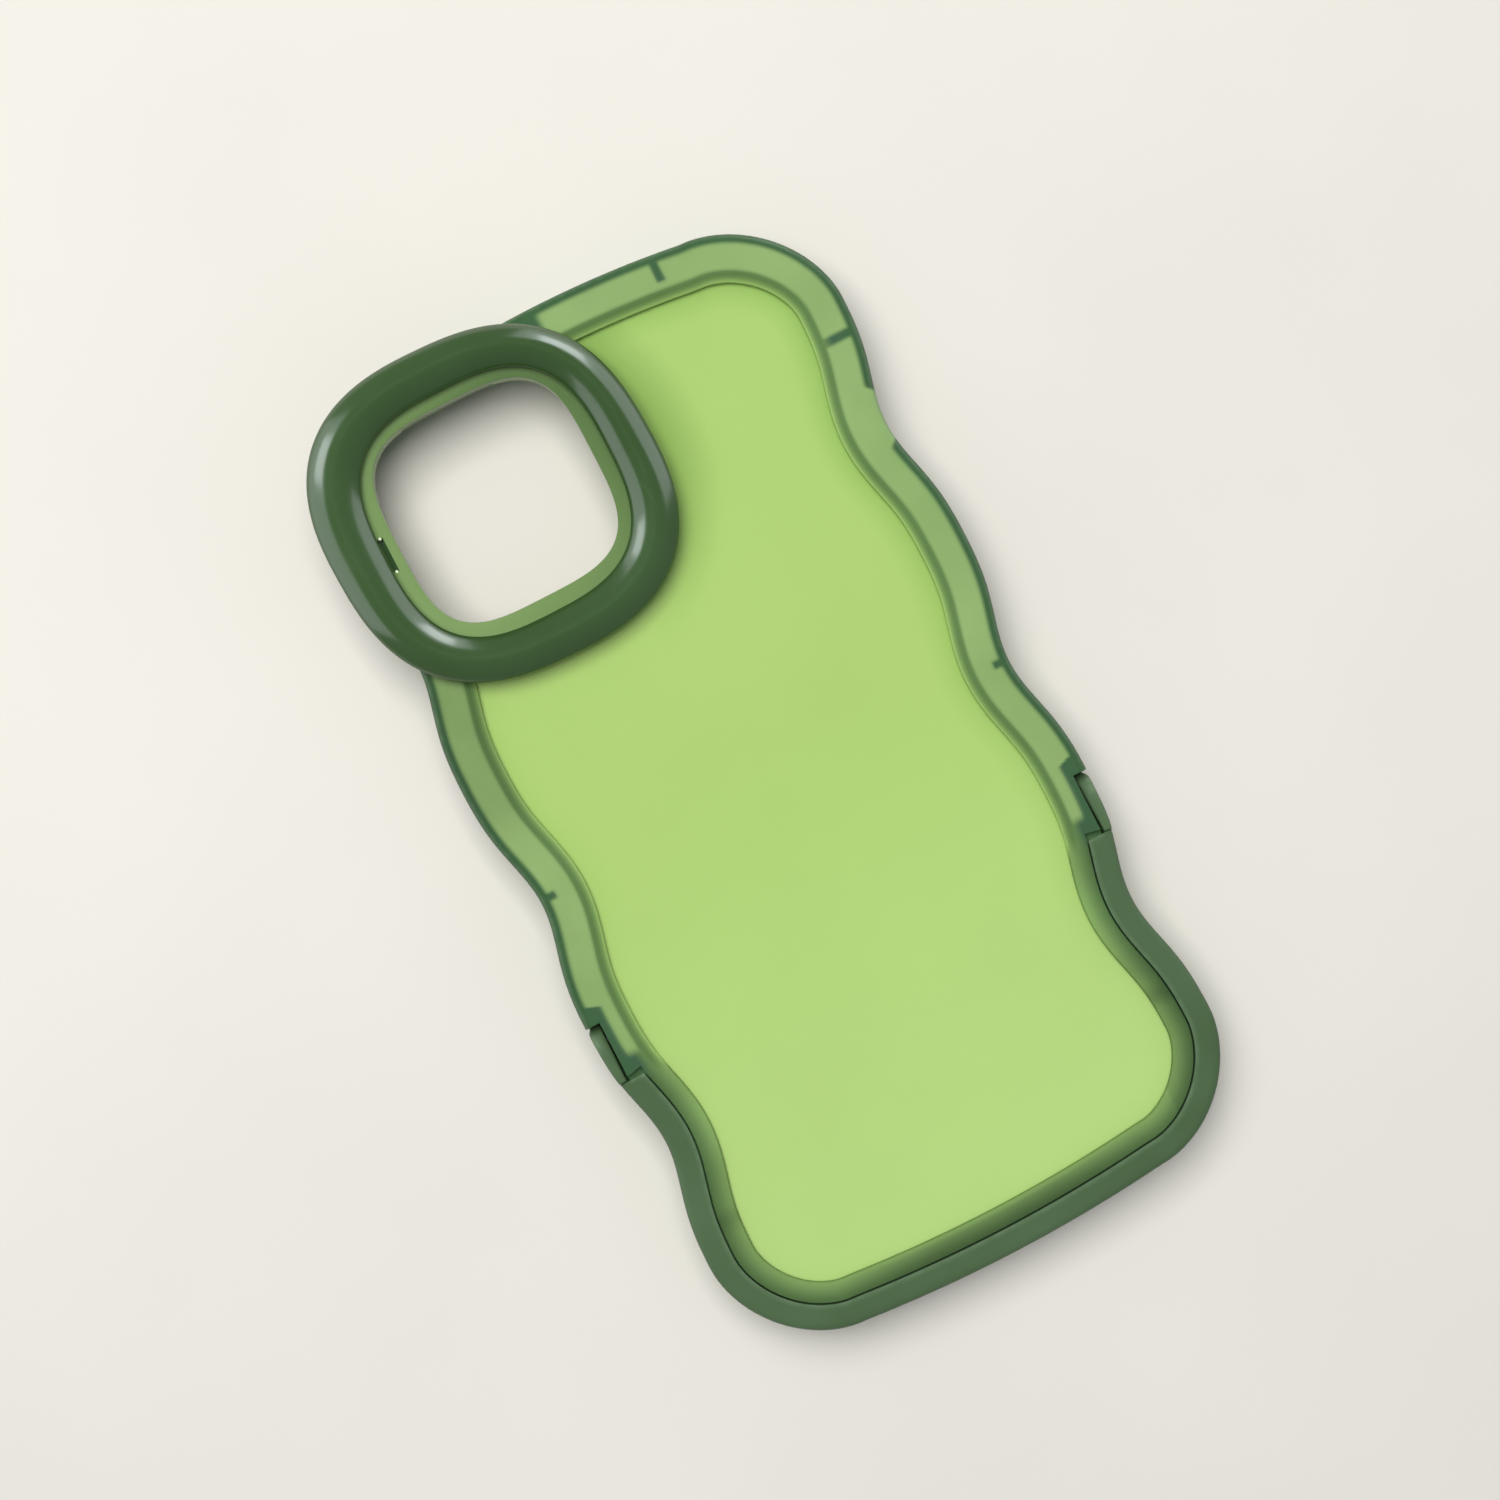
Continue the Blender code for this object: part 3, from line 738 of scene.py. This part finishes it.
def drawn_steel():
    """Steel wire with lines drawn along it."""
    shader = Shader("steel")
    drawn = shader.noise(2600, 4.0, (0.04, 1, 1), 0.6)
    colour = shader.ramp(drawn, [(0.3, (0.42, 0.43, 0.45, 1)), (0.7, (0.66, 0.67, 0.68, 1))])
    shader.feed(
        shader.surface,
        {
            "Base Color": colour,
            "Metallic": 1.0,
            "Roughness": shader.range(drawn, 0.3, 0.7, 0.22, 0.4),
            "Normal": shader.bump(drawn, 0.00001, 0.5),
        },
    )
    return shader.material


def floor_pale():
    shader = Shader("floor_pale")
    colour = shader.ramp(
        shader.noise(9, 4.0),
        [(0.3, linear(212, 209, 202)), (0.7, linear(218, 215, 208))],
    )
    shader.feed(shader.surface, {"Base Color": colour, "Roughness": 0.7, "Specular IOR Level": 0.2})
    return shader.material


# ---- bumper frame -------------------------------------------------------------------------------


def frame_profile(inner_z, lip_z):
    return rounded(
        (
            (0.0, 0.0, 0.9),
            (0.0, FRAME_TOP, 1.35),
            (BAND_FOLD, inner_z, 0.7),
            (BAND_WIDTH, lip_z, 0.22),
            (BAND_WIDTH, 0.0, 0.3),
        )
    )


def frame_rows():
    """The frame's full section at each station. Beside the stand, its inner band slopes down."""
    flat = frame_profile(FRAME_TOP, FRAME_TOP - 0.75)
    sloped = frame_profile(FRAME_TOP - 0.45, FRAME_TOP - 1.0)
    counts = divisions(flat, lambda point: 0.35 if point[1] > FRAME_TOP - 1 else 3.0)
    points, normals = whole_path(FRAME_STEP)
    share = np.clip((STAND_END_Y + 4 - points[:, 1]) / 4, 0, 1)[:, None, None]
    sections = mix(divided(flat, counts), divided(sloped, counts), share)
    return swept(points, normals, sections)


def phone_cavity():
    half_x, half_y = PHONE_WIDTH / 2, PHONE_LENGTH / 2

    def outline(index):
        growth = (0.3 - LIP_INSET, -LIP_INSET, -LIP_INSET, PHONE_PLAY, PHONE_PLAY)[index]
        return rounded_rectangle(half_x + growth, half_y + growth, PHONE_CORNER + growth)

    heights = (-0.3, 0.5, FRONT_LIP, FRONT_LIP, PANEL_Z)
    return loft("cavity", levels(outline, heights))


def channel(start, end):
    """A length of the air channel under the band, narrowed to a tongue beside each hinge notch."""
    points, normals = stretch(start, end)
    outer = mix(CHANNEL_OUTER, CHANNEL_TONGUE, np.clip((TONGUE_Y - points[:, 1]) / 3, 0, 1))
    low = PANEL_Z - GAP
    sections = np.empty((len(points), 4, 2))
    sections[:, :, 1] = (low, low, CHANNEL_TOP, CHANNEL_TOP)
    sections[:, 0, 0] = sections[:, 3, 0] = outer
    sections[:, 1:3, 0] = CHANNEL_INNER
    return loft("channel", swept(points, normals, sections))


def channels():
    """Below the rib, from the rib over the corner, and the left side."""
    x, y = OUTLINE.T
    inside = (
        (x > SIDE_X) & (y > CHANNEL_END_Y) & (y < RIB_Y - RIB_WIDTH / 2),
        (x > CHANNEL_TOP_X) & (y > RIB_Y + RIB_WIDTH / 2),
        (x < -SIDE_X) & (y > CHANNEL_END_Y) & (y < CHANNEL_LEFT_Y),
    )
    found = [np.flatnonzero(mask) for mask in inside]
    return [channel(indices[0], indices[-1]) for indices in found]


def stand_recess():
    floor = FRAME_TOP - STAND_FLANGE - GAP
    inner = STAND_WIDTH + GROOVE
    section = np.array(
        (
            (-2, STAND_BOTTOM - GAP),
            (STAND_SKIRT + GAP, STAND_BOTTOM - GAP),
            (STAND_SKIRT + GAP, floor),
            (inner, floor),
            (inner, FRAME_TOP - 0.1),
            (inner + 0.03, FRAME_TOP - 0.03),
            (inner + 0.12, FRAME_TOP + 0.01),
            (inner + 0.12, FRAME_TOP + 1),
            (-2, FRAME_TOP + 1),
        )
    )
    return loft("recess", swept(*lower_path(STAND_END_Y + 0.5), section))


def hinge_notch(side):
    """The notch for one arm, with a softened mouth."""
    y_low, y_high = STAND_END_Y, PIVOT_Y + ARM_RADIUS + GAP
    bottom = PIVOT_Z - ARM_RADIUS - GAP

    def outline(index):
        mouth = (0.0, 0.0, 0.08, 0.25, 0.25)[index]
        x = sorted((side * (NOTCH_X - mouth), side * (CREST + 2)))
        y = (y_low, y_high + mouth)
        return np.array(((x[0], y[0]), (x[1], y[0]), (x[1], y[1]), (x[0], y[1])))

    heights = (bottom, FRAME_TOP - 0.25, FRAME_TOP - 0.08, FRAME_TOP + 0.01, FRAME_TOP + 1)
    return loft("notch", levels(outline, heights))


def side_slot(side, middle, height, half, x_ats, growths):
    """A slot-shaped cutter through a side wall. x_ats gives where each outline lies along X."""
    rows = []
    for x_at, growth in zip(x_ats, growths):
        outline = slot_outline(half[0] + growth, half[1] + growth)
        x = side * (x_at(middle + outline[:, 0]) if callable(x_at) else np.full(len(outline), x_at))
        rows.append(np.c_[x, middle + outline[:, 0], height + outline[:, 1]])
    return loft("slot", rows)


def beyond(distance):
    """Where the points this far out from the side wall lie along X, for each y."""
    return lambda y: side_x(y) + distance


def button_hole(side, middle, half_length):
    """The hole that a button slides in, with room for its flange."""
    half = (half_length, BUTTON_HALF_HEIGHT)
    flange = FLANGE_GROWTH + GAP
    x_ats = (FLANGE_INNER_X - 1.5, FLANGE_OUTER_X + GAP, FLANGE_OUTER_X + GAP, beyond(2))
    return side_slot(side, middle, BUTTON_Z, half, x_ats, (flange, flange, GAP, GAP))


def button_pocket(side, middle, half_length):
    """The shallow hollow round a button, with soft edges."""
    half = (half_length, BUTTON_HALF_HEIGHT)
    depths = (-POCKET_DEPTH, 0.12 - POCKET_DEPTH, -0.15, 0.02, 1)
    x_ats = [beyond(depth) for depth in depths]
    return side_slot(side, middle, BUTTON_Z, half, x_ats, (0.65, 0.8, 0.95, 1.15, 1.2))


def switch_opening():
    x_ats = (PHONE_WIDTH / 2 - 2, beyond(-0.5), beyond(-0.12), beyond(0.03), beyond(2))
    return side_slot(1, SWITCH_Y, SWITCH_Z, SWITCH_HALF, x_ats, (0, 0, 0.1, 0.4, 0.4))


def port_opening(middle, half_length, half_height):
    """An opening through the bottom wall with a rounded mouth."""
    wall_y = OUTLINE[np.abs(OUTLINE[:, 0] - middle).argmin() if middle else 0, 1]
    wall_y = -abs(wall_y)
    mouth = ((wall_y - 2, 0.4), (wall_y - 0.03, 0.4), (wall_y + 0.12, 0.1), (wall_y + 0.5, 0))
    rows = []
    for y, growth in (*mouth, (PORT_INNER_Y, 0)):
        outline = slot_outline(half_length + growth, half_height + growth)
        rows.append(np.c_[middle + outline[:, 0], np.full(len(outline), y), PORT_Z + outline[:, 1]])
    return loft("port", rows)


def pin_hole(side):
    ends = (side * (PIN_INNER_X - GAP), side * (PIN_OUTER_X + GAP))
    return bar("pin_hole", PIN_RADIUS + 0.25, ends, PIVOT_Y, PIVOT_Z)


def panel_room():
    points, normals = whole_path()
    outline = points + normals * (PANEL_INSET - GAP)
    return loft("panel_room", levels(lambda _: outline, (PANEL_Z - GAP, PANEL_TOP + GAP)))


def collar_room():
    heights = (PANEL_Z - GAP, FRAME_TOP + 2)
    return loft("collar_room", levels(lambda _: superellipse(COLLAR, GAP), heights))


def near(value, middle, half_width, blur=0.3):
    """1 within half_width of the middle, with soft edges."""
    return 1 - smooth(half_width - blur, half_width + blur, np.abs(value - middle))


def hollow_share(x, y, inset):
    """How far the band is hollow below each point, which is where it looks pale."""
    on_side = np.abs(x) > SIDE_X
    tongue = np.where(on_side, 1 - smooth(-17.4, -16.3, y), 0)
    outer = mix(1.48, 3.6, tongue)
    outer = mix(outer, -1.0, np.where(x > SIDE_X, near(y, SWITCH_Y - 0.3, 3.9, 1.2), 0))
    share = smooth(outer - 0.42, outer + 0.36, inset) * (1 - smooth(5.12, 5.58, inset))
    share *= np.where(on_side, smooth(CHANNEL_END_Y - 0.7, CHANNEL_END_Y + 0.9, y), 1)
    share *= np.where(x > SIDE_X, 1 - near(y, RIB_Y, RIB_WIDTH / 2, 0.35), 1)
    stub = near(y, 0.2, 0.6) * (1 - smooth(2.3, 2.9, inset))
    share *= np.where(on_side, 1 - stub, 1)
    rib = near(x, TOP_RIB_X, 0.65) * (1 - smooth(4.0, 4.6, inset))
    share *= np.where(y > 60, (1 - rib) * smooth(-0.4, 1.0, x), 1)
    share *= np.where(y < STAND_END_Y, 0, 1)
    return share


def painted_light_share(x, y, inset):
    """Painted light and shade: how bright each place on the band is beside its neighbours along the case."""
    side = np.abs(x) > SIDE_X
    painted_light = 1 + np.where(side & (inset > 3.5), 0.2 * near(y, -39.5, 4.5, 4), 0)
    painted_light -= np.where(side & (inset > 3.5), 0.2 * near(y, -53.5, 1.2, 1.2), 0)
    painted_light -= np.where(y < -65, 0.3 * near(x, -1, 18, 12) * (1 - smooth(6.0, 6.9, inset)), 0)
    painted_light -= np.where(x < -SIDE_X, 0.22 * smooth(8, 17, y), 0)
    painted_light -= np.where((x > SIDE_X) & (inset > 3.5), 0.14 * (1 - smooth(-50, -44, y)), 0)
    return painted_light


def build_frame(material):
    obj = loft("frame_soft", frame_rows(), ring=True)
    cutters = [phone_cavity(), panel_room(), *channels(), stand_recess(), collar_room(), switch_opening()]
    for side in (-1, 1):
        cutters += [hinge_notch(side), pin_hole(side)]
    for _, _, side, middle, half_length in BUTTONS:
        cutters += [button_pocket(side, middle, half_length), button_hole(side, middle, half_length)]
    cutters += [port_opening(*port) for port in PORTS]
    carved(obj, [("DIFFERENCE", cutter) for cutter in cutters])
    points = local_points(obj)
    x, y, z = points.T
    inset = insets(points)
    top = smooth(FRAME_TOP - 1.9, FRAME_TOP - 1.1, z)
    set_attribute(obj, "inset", inset)
    set_attribute(obj, "strip", hollow_share(x, y, inset))
    beside_stand = 1 - smooth(STAND_END_Y - 1.5, STAND_END_Y + 1.5, y)
    set_attribute(obj, "lower", beside_stand * smooth(3.6, 4.3, inset))
    # Painted light and shade along the band.
    set_attribute(obj, "painted_light", painted_light_share(x, y, inset))
    set_attribute(obj, "level", z / FRAME_TOP)
    # The lip's inner wall keeps the ramp's pale end, a painted highlight line at the panel's edge.
    set_attribute(obj, "wall", (1 - top) * (1 - smooth(6.7, 6.95, inset)))
    # Wear and a painted highlight along the rounded outer top edge.
    edge = np.exp(-((inset - 0.35) ** 2 + (z - FRAME_TOP + 0.35) ** 2) / 0.2)
    set_attribute(obj, "edge", 0.35 * edge)
    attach(finish_surface(obj, material), "case")
    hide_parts("bumper_frame")
    return obj


# ---- back panel and camera ring -----------------------------------------------------------------


def bead(x, y):
    """A small round stop at one end of the collar's clip slot."""
    rows = []
    for radius, z in ((0.3, -0.9), (0.3, -0.15), (0.27, -0.02), (0.19, 0.06), (0.07, 0.1)):
        turn = np.linspace(0, 2 * math.pi, 20, endpoint=False)
        rows.append(np.c_[x + radius * np.cos(turn), y + radius * np.sin(turn), np.full(20, COLLAR_TOP + z)])
    return loft("bead", rows)


# The panel's rows of points shrink by these steps from its rim, over about its half width and length.
PANEL_STEPS = (0, 0.4, 1, 2, 3.5, 6, 10, 16, 23, 30)
PANEL_HALF = (34.0, 70.0)
PANEL_SOFT = 0.12
CLIP_PLACE = (COLLAR[0][0] - COLLAR[1][0] + 0.55, COLLAR[0][1] + 0.3)
TAB_PLACE = (RING[0][0] + RING[1][0] + 0.1, RING[0][1])


def panel_plate():
    """A plate with soft edges, whose rows of points run in from the frame."""
    points, normals = whole_path()
    rim = points + normals * (PANEL_INSET + 0.4)
    inner = [rim * (1 - step / PANEL_HALF[0], 1 - step / PANEL_HALF[1]) for step in PANEL_STEPS]
    edge = points + normals * PANEL_INSET
    soft = points + normals * (PANEL_INSET + PANEL_SOFT)
    plate = [*inner[::-1], soft, edge, edge, soft, *inner]
    flat = len(inner) + 1
    heights = [PANEL_Z] * flat + [PANEL_Z + PANEL_SOFT, PANEL_TOP - PANEL_SOFT] + [PANEL_TOP] * flat
    return loft("panel_clear", levels(lambda index: plate[index], heights))


def upright(name, shape, steps):
    """An upright superellipse with (height, growth) steps."""
    return loft(name, levels(lambda index: superellipse(shape, steps[index][1]), [step[0] for step in steps]))


def panel_details():
    """The collar, the camera opening, the clip's slot with its two beads, and the small tab."""
    collar = upright("collar", COLLAR, ((PANEL_Z + 0.2, 0.0), (COLLAR_TOP - 0.05, 0.0), (COLLAR_TOP, -0.05)))
    cut_steps = (
        (PANEL_Z - 1, 0.25),
        (PANEL_Z, 0.25),
        (PANEL_Z + 0.25, 0.1),
        (COLLAR_TOP - 0.2, 0.1),
        (COLLAR_TOP - 0.06, 0.15),
        (COLLAR_TOP, 0.28),
        (COLLAR_TOP + 1, 0.28),
    )
    opening = upright("opening", CUTOUT, cut_steps)
    clip_outline = rounded_rectangle(CLIP_HALF_WIDTH, CLIP_LENGTH / 2, 0.2, 4) + CLIP_PLACE
    clip = loft("clip", levels(lambda _: clip_outline, (COLLAR_TOP - 0.9, COLLAR_TOP + 1)))
    tab_outline = rounded_rectangle(*TAB_HALF, 0.28, 4) + TAB_PLACE
    tab = loft("tab", levels(lambda _: tab_outline, (PANEL_TOP - 0.3, PANEL_TOP + 0.35)))
    reach = CLIP_LENGTH / 2 - 0.15
    beads = [bead(CLIP_PLACE[0], CLIP_PLACE[1] + way * reach) for way in (-1, 1)]
    steps = [("UNION", collar), ("DIFFERENCE", opening), ("DIFFERENCE", clip), ("UNION", tab)]
    return steps + [("UNION", made) for made in beads]


def build_panel(material):
    """The plate with its details, and the attributes that its material reads."""
    obj = carved(panel_plate(), panel_details())
    placed = local_points(obj)
    from_slot = np.abs(placed[:, :2] - CLIP_PLACE)
    in_slot = (from_slot[:, 0] < 0.45) & (from_slot[:, 1] < CLIP_LENGTH / 2 + 0.05)
    # Painted shade down in the clip's slot.
    set_attribute(obj, "slot", in_slot * (1 - smooth(-0.5, -0.2, placed[:, 2] - COLLAR_TOP)))
    # Painted glints on the beads' tops.
    set_attribute(obj, "bead", in_slot * smooth(0.01, 0.05, placed[:, 2] - COLLAR_TOP))
    set_attribute(obj, "inset", insets(placed))
    set_attribute(obj, "collar", smooth(PANEL_TOP + 0.3, PANEL_TOP + 1.2, placed[:, 2]))
    # Painted shading round the collar, darker to the right and the top.
    away = (placed[:, :2] - COLLAR[0]) / COLLAR[1]
    set_attribute(obj, "shade", 0.5 - 0.36 * away[:, 0] - 0.2 * away[:, 1])
    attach(finish_surface(obj, material), "case")
    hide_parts("back_panel")
    return obj


def ring_section(steps=40):
    """(share of the way from the outer edge to the inner, height) round the ring's section.

    The two slopes fall steadily from a broad crown, and turn down at the shoulders.
    """
    foot = PANEL_TOP + GAP
    turn = np.linspace(0, math.pi, steps)
    across = np.copysign(np.abs(np.cos(turn)) ** SLOPE_CURVE, np.cos(turn))
    share = RING_CROWN - np.where(across > 0, RING_CROWN, 1 - RING_CROWN) * across
    height = RING_SHOULDER + (RING_TOP - RING_SHOULDER) * np.sin(turn).clip(0) ** SHOULDER_CURVE
    wall = np.array(((0.1, foot), (0.09, FRAME_TOP + GAP), (0.05, FRAME_TOP + 0.45), (0.0, FRAME_TOP + 1.1)))
    inner = np.array(((1.0, FRAME_TOP + 0.8), (1.0, foot + 0.1), (0.98, foot)))
    return np.vstack([wall, np.c_[share, height], inner])


def build_ring(material):
    """The ring's feet end just above the panel, and are cut back where it crosses the frame's band."""
    outer = superellipse(RING, -0.03, steps=360, lean=RING_LEAN)
    inner = superellipse(COLLAR, -0.1, steps=360)
    section = ring_section()
    share = section[None, :, :1]
    place = outer[:, None] * (1 - share) + inner[:, None] * share
    heights = np.broadcast_to(section[None, :, 1:], place.shape[:2] + (1,))
    obj = loft("ring_gloss", np.concatenate([place, heights], axis=2), ring=True)
    reach, over = BAND_WIDTH + GAP, FRAME_TOP + GAP
    band = np.array(((-6, PANEL_Z), (reach, PANEL_Z), (reach, over), (-6, over)))
    room = loft("band_room", swept(*whole_path(), band), ring=True)
    carved(obj, [("DIFFERENCE", room)])
    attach(finish_surface(obj, material, 40), "case")
    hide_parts("camera_ring")
    return obj


# ---- stand --------------------------------------------------------------------------------------


def stand_band():
    section = rounded(
        (
            (0.0, STAND_BOTTOM, 0.3),
            (0.0, FRAME_TOP, 1.25),
            (STAND_WIDTH, FRAME_TOP, 0.16),
            (STAND_WIDTH, FRAME_TOP - STAND_FLANGE, 0.15),
            (STAND_SKIRT, FRAME_TOP - STAND_FLANGE, 0.2),
            (STAND_SKIRT, STAND_BOTTOM, 0.15),
        )
    )
    counts = divisions(section, lambda point: 0.8)
    return loft("stand_matte", swept(*lower_path(STAND_END_Y), divided(section, counts)))


def arm_row(side, y, inner, outer, low, high):
    radius = min(0.45, 0.4 * (outer - inner), 0.4 * (high - low))
    loop = rounded_rectangle((outer - inner) / 2, (high - low) / 2, radius, 4)
    x = side * (loop[:, 0] + (outer + inner) / 2)
    return np.c_[x, np.full(len(loop), y), loop[:, 1] + (low + high) / 2]


def stand_arm(side):
    """The arm from the pivot's round end down to the band, whose skirt it runs into."""
    rows = []
    for ahead in (0.995, 0.96, 0.9, 0.8, 0.65, 0.45, 0.22, 0.0):
        half = ARM_RADIUS * math.sqrt(1 - ahead**2)
        y = PIVOT_Y + ARM_RADIUS * ahead
        outer = side_x(y) + 0.05 - 0.5 * smooth(0.7, 1.0, ahead)
        rows.append(arm_row(side, y, ARM_INNER_X, outer, PIVOT_Z - half, PIVOT_Z + half))
    last = STAND_END_Y - 0.6
    for share in (0.15, 0.3, 0.45, 0.6, 0.75, 0.87):
        y = mix(PIVOT_Y, last, share)
        low = mix(PIVOT_Z - ARM_RADIUS, STAND_BOTTOM, share)
        high = mix(PIVOT_Z + ARM_RADIUS, FRAME_TOP - 0.06, smooth(0.0, 0.85, share))
        rows.append(arm_row(side, y, ARM_INNER_X, side_x(y) + 0.05 * (1 - share), low, high))
    rows.append(arm_row(side, last, side_x(last) - STAND_SKIRT, side_x(last), STAND_BOTTOM, FRAME_TOP - 1.3))
    for further in (1.5, 3.0):
        y = last - further
        inner, outer = side_x(y) - STAND_SKIRT + 0.1, side_x(y) - 0.1
        rows.append(arm_row(side, y, inner, outer, STAND_BOTTOM + 0.15, FRAME_TOP - 1.4))
    return loft("arm", rows)


def build_stand(material):
    obj = stand_band()
    swing = bar("swing", SWING_RADIUS, (-CREST - 1, CREST + 1), PIVOT_Y, PIVOT_Z, 96)
    steps = [("DIFFERENCE", swing)]
    steps += [("UNION", stand_arm(side)) for side in (-1, 1)]
    steps += [("DIFFERENCE", pin_hole(side)) for side in (-1, 1)]
    carved(obj, steps)
    points = local_points(obj)
    inset, z = insets(points), points[:, 2]
    # Painted highlights: a line by the groove, a line at the band's end and a sheen on each arm's top; a
    # little wear on the outer edge.
    inner_edge = np.exp(-((inset - STAND_WIDTH + 0.1) ** 2 + (z - FRAME_TOP + 0.1) ** 2) / 0.06)
    outer_edge = np.exp(-((inset - 0.3) ** 2 + (z - FRAME_TOP + 0.3) ** 2) / 0.25)
    end_edge = np.exp(-((points[:, 1] - STAND_END_Y) ** 2) / 0.05) * smooth(10.6, 11.8, z)
    end_edge *= smooth(1.6, 2.0, inset)
    on_arm = smooth(9.2, 9.9, z) * (inset < 0.8) * (points[:, 1] > STAND_END_Y + 1)
    arm_edge = np.exp(-(((points[:, 1] - PIVOT_Y - 0.4) / 1.3) ** 2)) * on_arm
    wear_and_highlight = 0.5 * inner_edge + 0.08 * outer_edge + 0.9 * end_edge + 0.9 * arm_edge
    set_attribute(obj, "edge", np.clip(wear_and_highlight, 0, 1))
    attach(finish_surface(obj, material), "stand")
    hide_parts("kickstand")
    return obj


# ---- buttons and pins ---------------------------------------------------------------------------


def build_button(node, body, side, middle, half_length, material):
    """A button with a rounded rim and a slightly domed face, and its flange inside the wall."""
    half = (half_length, BUTTON_HALF_HEIGHT)
    top = BUTTON_PROUD
    steps = (
        (FLANGE_INNER_X, FLANGE_GROWTH - 0.1),
        (FLANGE_INNER_X + 0.1, FLANGE_GROWTH),
        (FLANGE_OUTER_X - 0.1, FLANGE_GROWTH),
        (FLANGE_OUTER_X, FLANGE_GROWTH - 0.1),
        (FLANGE_OUTER_X, 0.0),
        (beyond(top - 0.42), 0.0),
        (beyond(top - 0.26), -0.06),
        (beyond(top - 0.14), -0.2),
        (beyond(top - 0.07), -0.42),
        (beyond(top - 0.02), -0.8),
        (beyond(top), -1.2),
    )
    obj = side_slot(side, middle, BUTTON_Z, half, [s[0] for s in steps], [s[1] for s in steps])
    obj.name = obj.data.name = node.replace("button", "key")
    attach(finish_surface(obj, material, 50), body)
    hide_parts(node)
    return obj


# ---- stage --------------------------------------------------------------------------------------

FLOOR_SIZE = 3.0
LENS = 60.0
SENSOR = 36.0
# Where the camera stands: its direction from the case, its turn about that, and how far it is.
CAMERA_TILT = (-0.0297, 0.0328)
CAMERA_TURN = -27.42
CAMERA_DISTANCE = 363.4
# The point of the picture's middle from the phone's centre, along the picture's own axes.
CAMERA_AIM = (-3.72, 4.49)
AIM_HEIGHT = 11.5

LIGHT_TARGET = (0, 0, 0.01)
# Lights that only show as highlights: name, azimuth, height, size, power.
GLOSS_RADIUS = 0.6
GLOSS_LIGHTS = (
    ("gloss_right", 30, 0.22, (0.9, 0.45), 2.2),
    ("gloss_left", 150, 0.22, (0.85, 0.45), 1.8),
    ("spark_right", 47, 0.25, (0.24, 0.24), 1.0),
    ("spark_left", 133, 0.3, (0.22, 0.24), 0.7),
)


def build_floor():
    bm = bmesh.new()
    bmesh.ops.create_grid(bm, x_segments=8, y_segments=8, size=FLOOR_SIZE / 2)
    mesh = bpy.data.meshes.new("floor")
    bm.to_mesh(mesh)
    bm.free()
    floor = add_object("floor", mesh)
    floor.location.z = -0.00002
    mesh.materials.append(floor_pale())


def add_light(name, place, size, power, colour, glossy=True, diffuse=True):
    light = bpy.data.lights.new(name, "AREA")
    light.shape = "RECTANGLE"
    light.size, light.size_y = size
    light.energy = power
    light.color = colour
    obj = add_object(name, light)
    obj.location = place
    obj.rotation_euler = (Vector(LIGHT_TARGET) - obj.location).to_track_quat("-Z", "Y").to_euler()
    obj.visible_glossy = glossy
    obj.visible_diffuse = diffuse
    return obj


def build_lights():
    world = bpy.data.worlds.new("studio")
    world.use_nodes = True
    background = world.node_tree.nodes["Background"]
    background.inputs["Color"].default_value = (0.9, 0.95, 1.0, 1)
    background.inputs["Strength"].default_value = 0.3
    bpy.context.scene.world = world
    add_light("key", (-0.08, 0.3, 0.93), (0.7, 0.7), 11.6, (1.0, 0.985, 0.96), glossy=False)
    for name, azimuth, height, size, power in GLOSS_LIGHTS:
        turn = math.radians(azimuth)
        place = (GLOSS_RADIUS * math.cos(turn), GLOSS_RADIUS * math.sin(turn), height)
        add_light(name, place, size, power, (0.93, 0.97, 1.0), diffuse=False)


def build_camera():
    back = Vector((*CAMERA_TILT, 1.0)).normalized()
    level = (-back).cross(Vector((0, 1, 0))).normalized()
    upright = level.cross(-back)
    turn = math.radians(CAMERA_TURN)
    right = level * math.cos(turn) + upright * math.sin(turn)
    up = -level * math.sin(turn) + upright * math.cos(turn)
    centre = Vector((SHIFT[0], SHIFT[1], AIM_HEIGHT))
    place = centre + back * CAMERA_DISTANCE
    aim = centre + right * CAMERA_AIM[0] + up * CAMERA_AIM[1]
    away = (place - aim).normalized()
    side = up.cross(away).normalized()
    data = bpy.data.cameras.new("camera")
    data.lens = LENS
    data.sensor_width = SENSOR
    data.clip_start = 0.01
    camera = add_object("camera", data)
    axes = Matrix((side, away.cross(side), away)).transposed()
    camera.matrix_world = Matrix.Translation(place * MM) @ axes.to_4x4()
    bpy.context.scene.camera = camera


def main():
    bpy.context.scene.view_settings.view_transform = "Standard"
    build_frame(soft_green())
    build_panel(clear_green())
    build_ring(ring_green())
    build_stand(stand_green())
    button_finish = button_green()
    for button in BUTTONS:
        build_button(*button, button_finish)
    steel = drawn_steel()
    for node in ("hinge_pin_left", "hinge_pin_right"):
        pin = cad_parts[node]
        pin.data.materials.clear()
        pin.data.materials.append(steel)
    build_floor()
    build_lights()
    build_camera()


main()
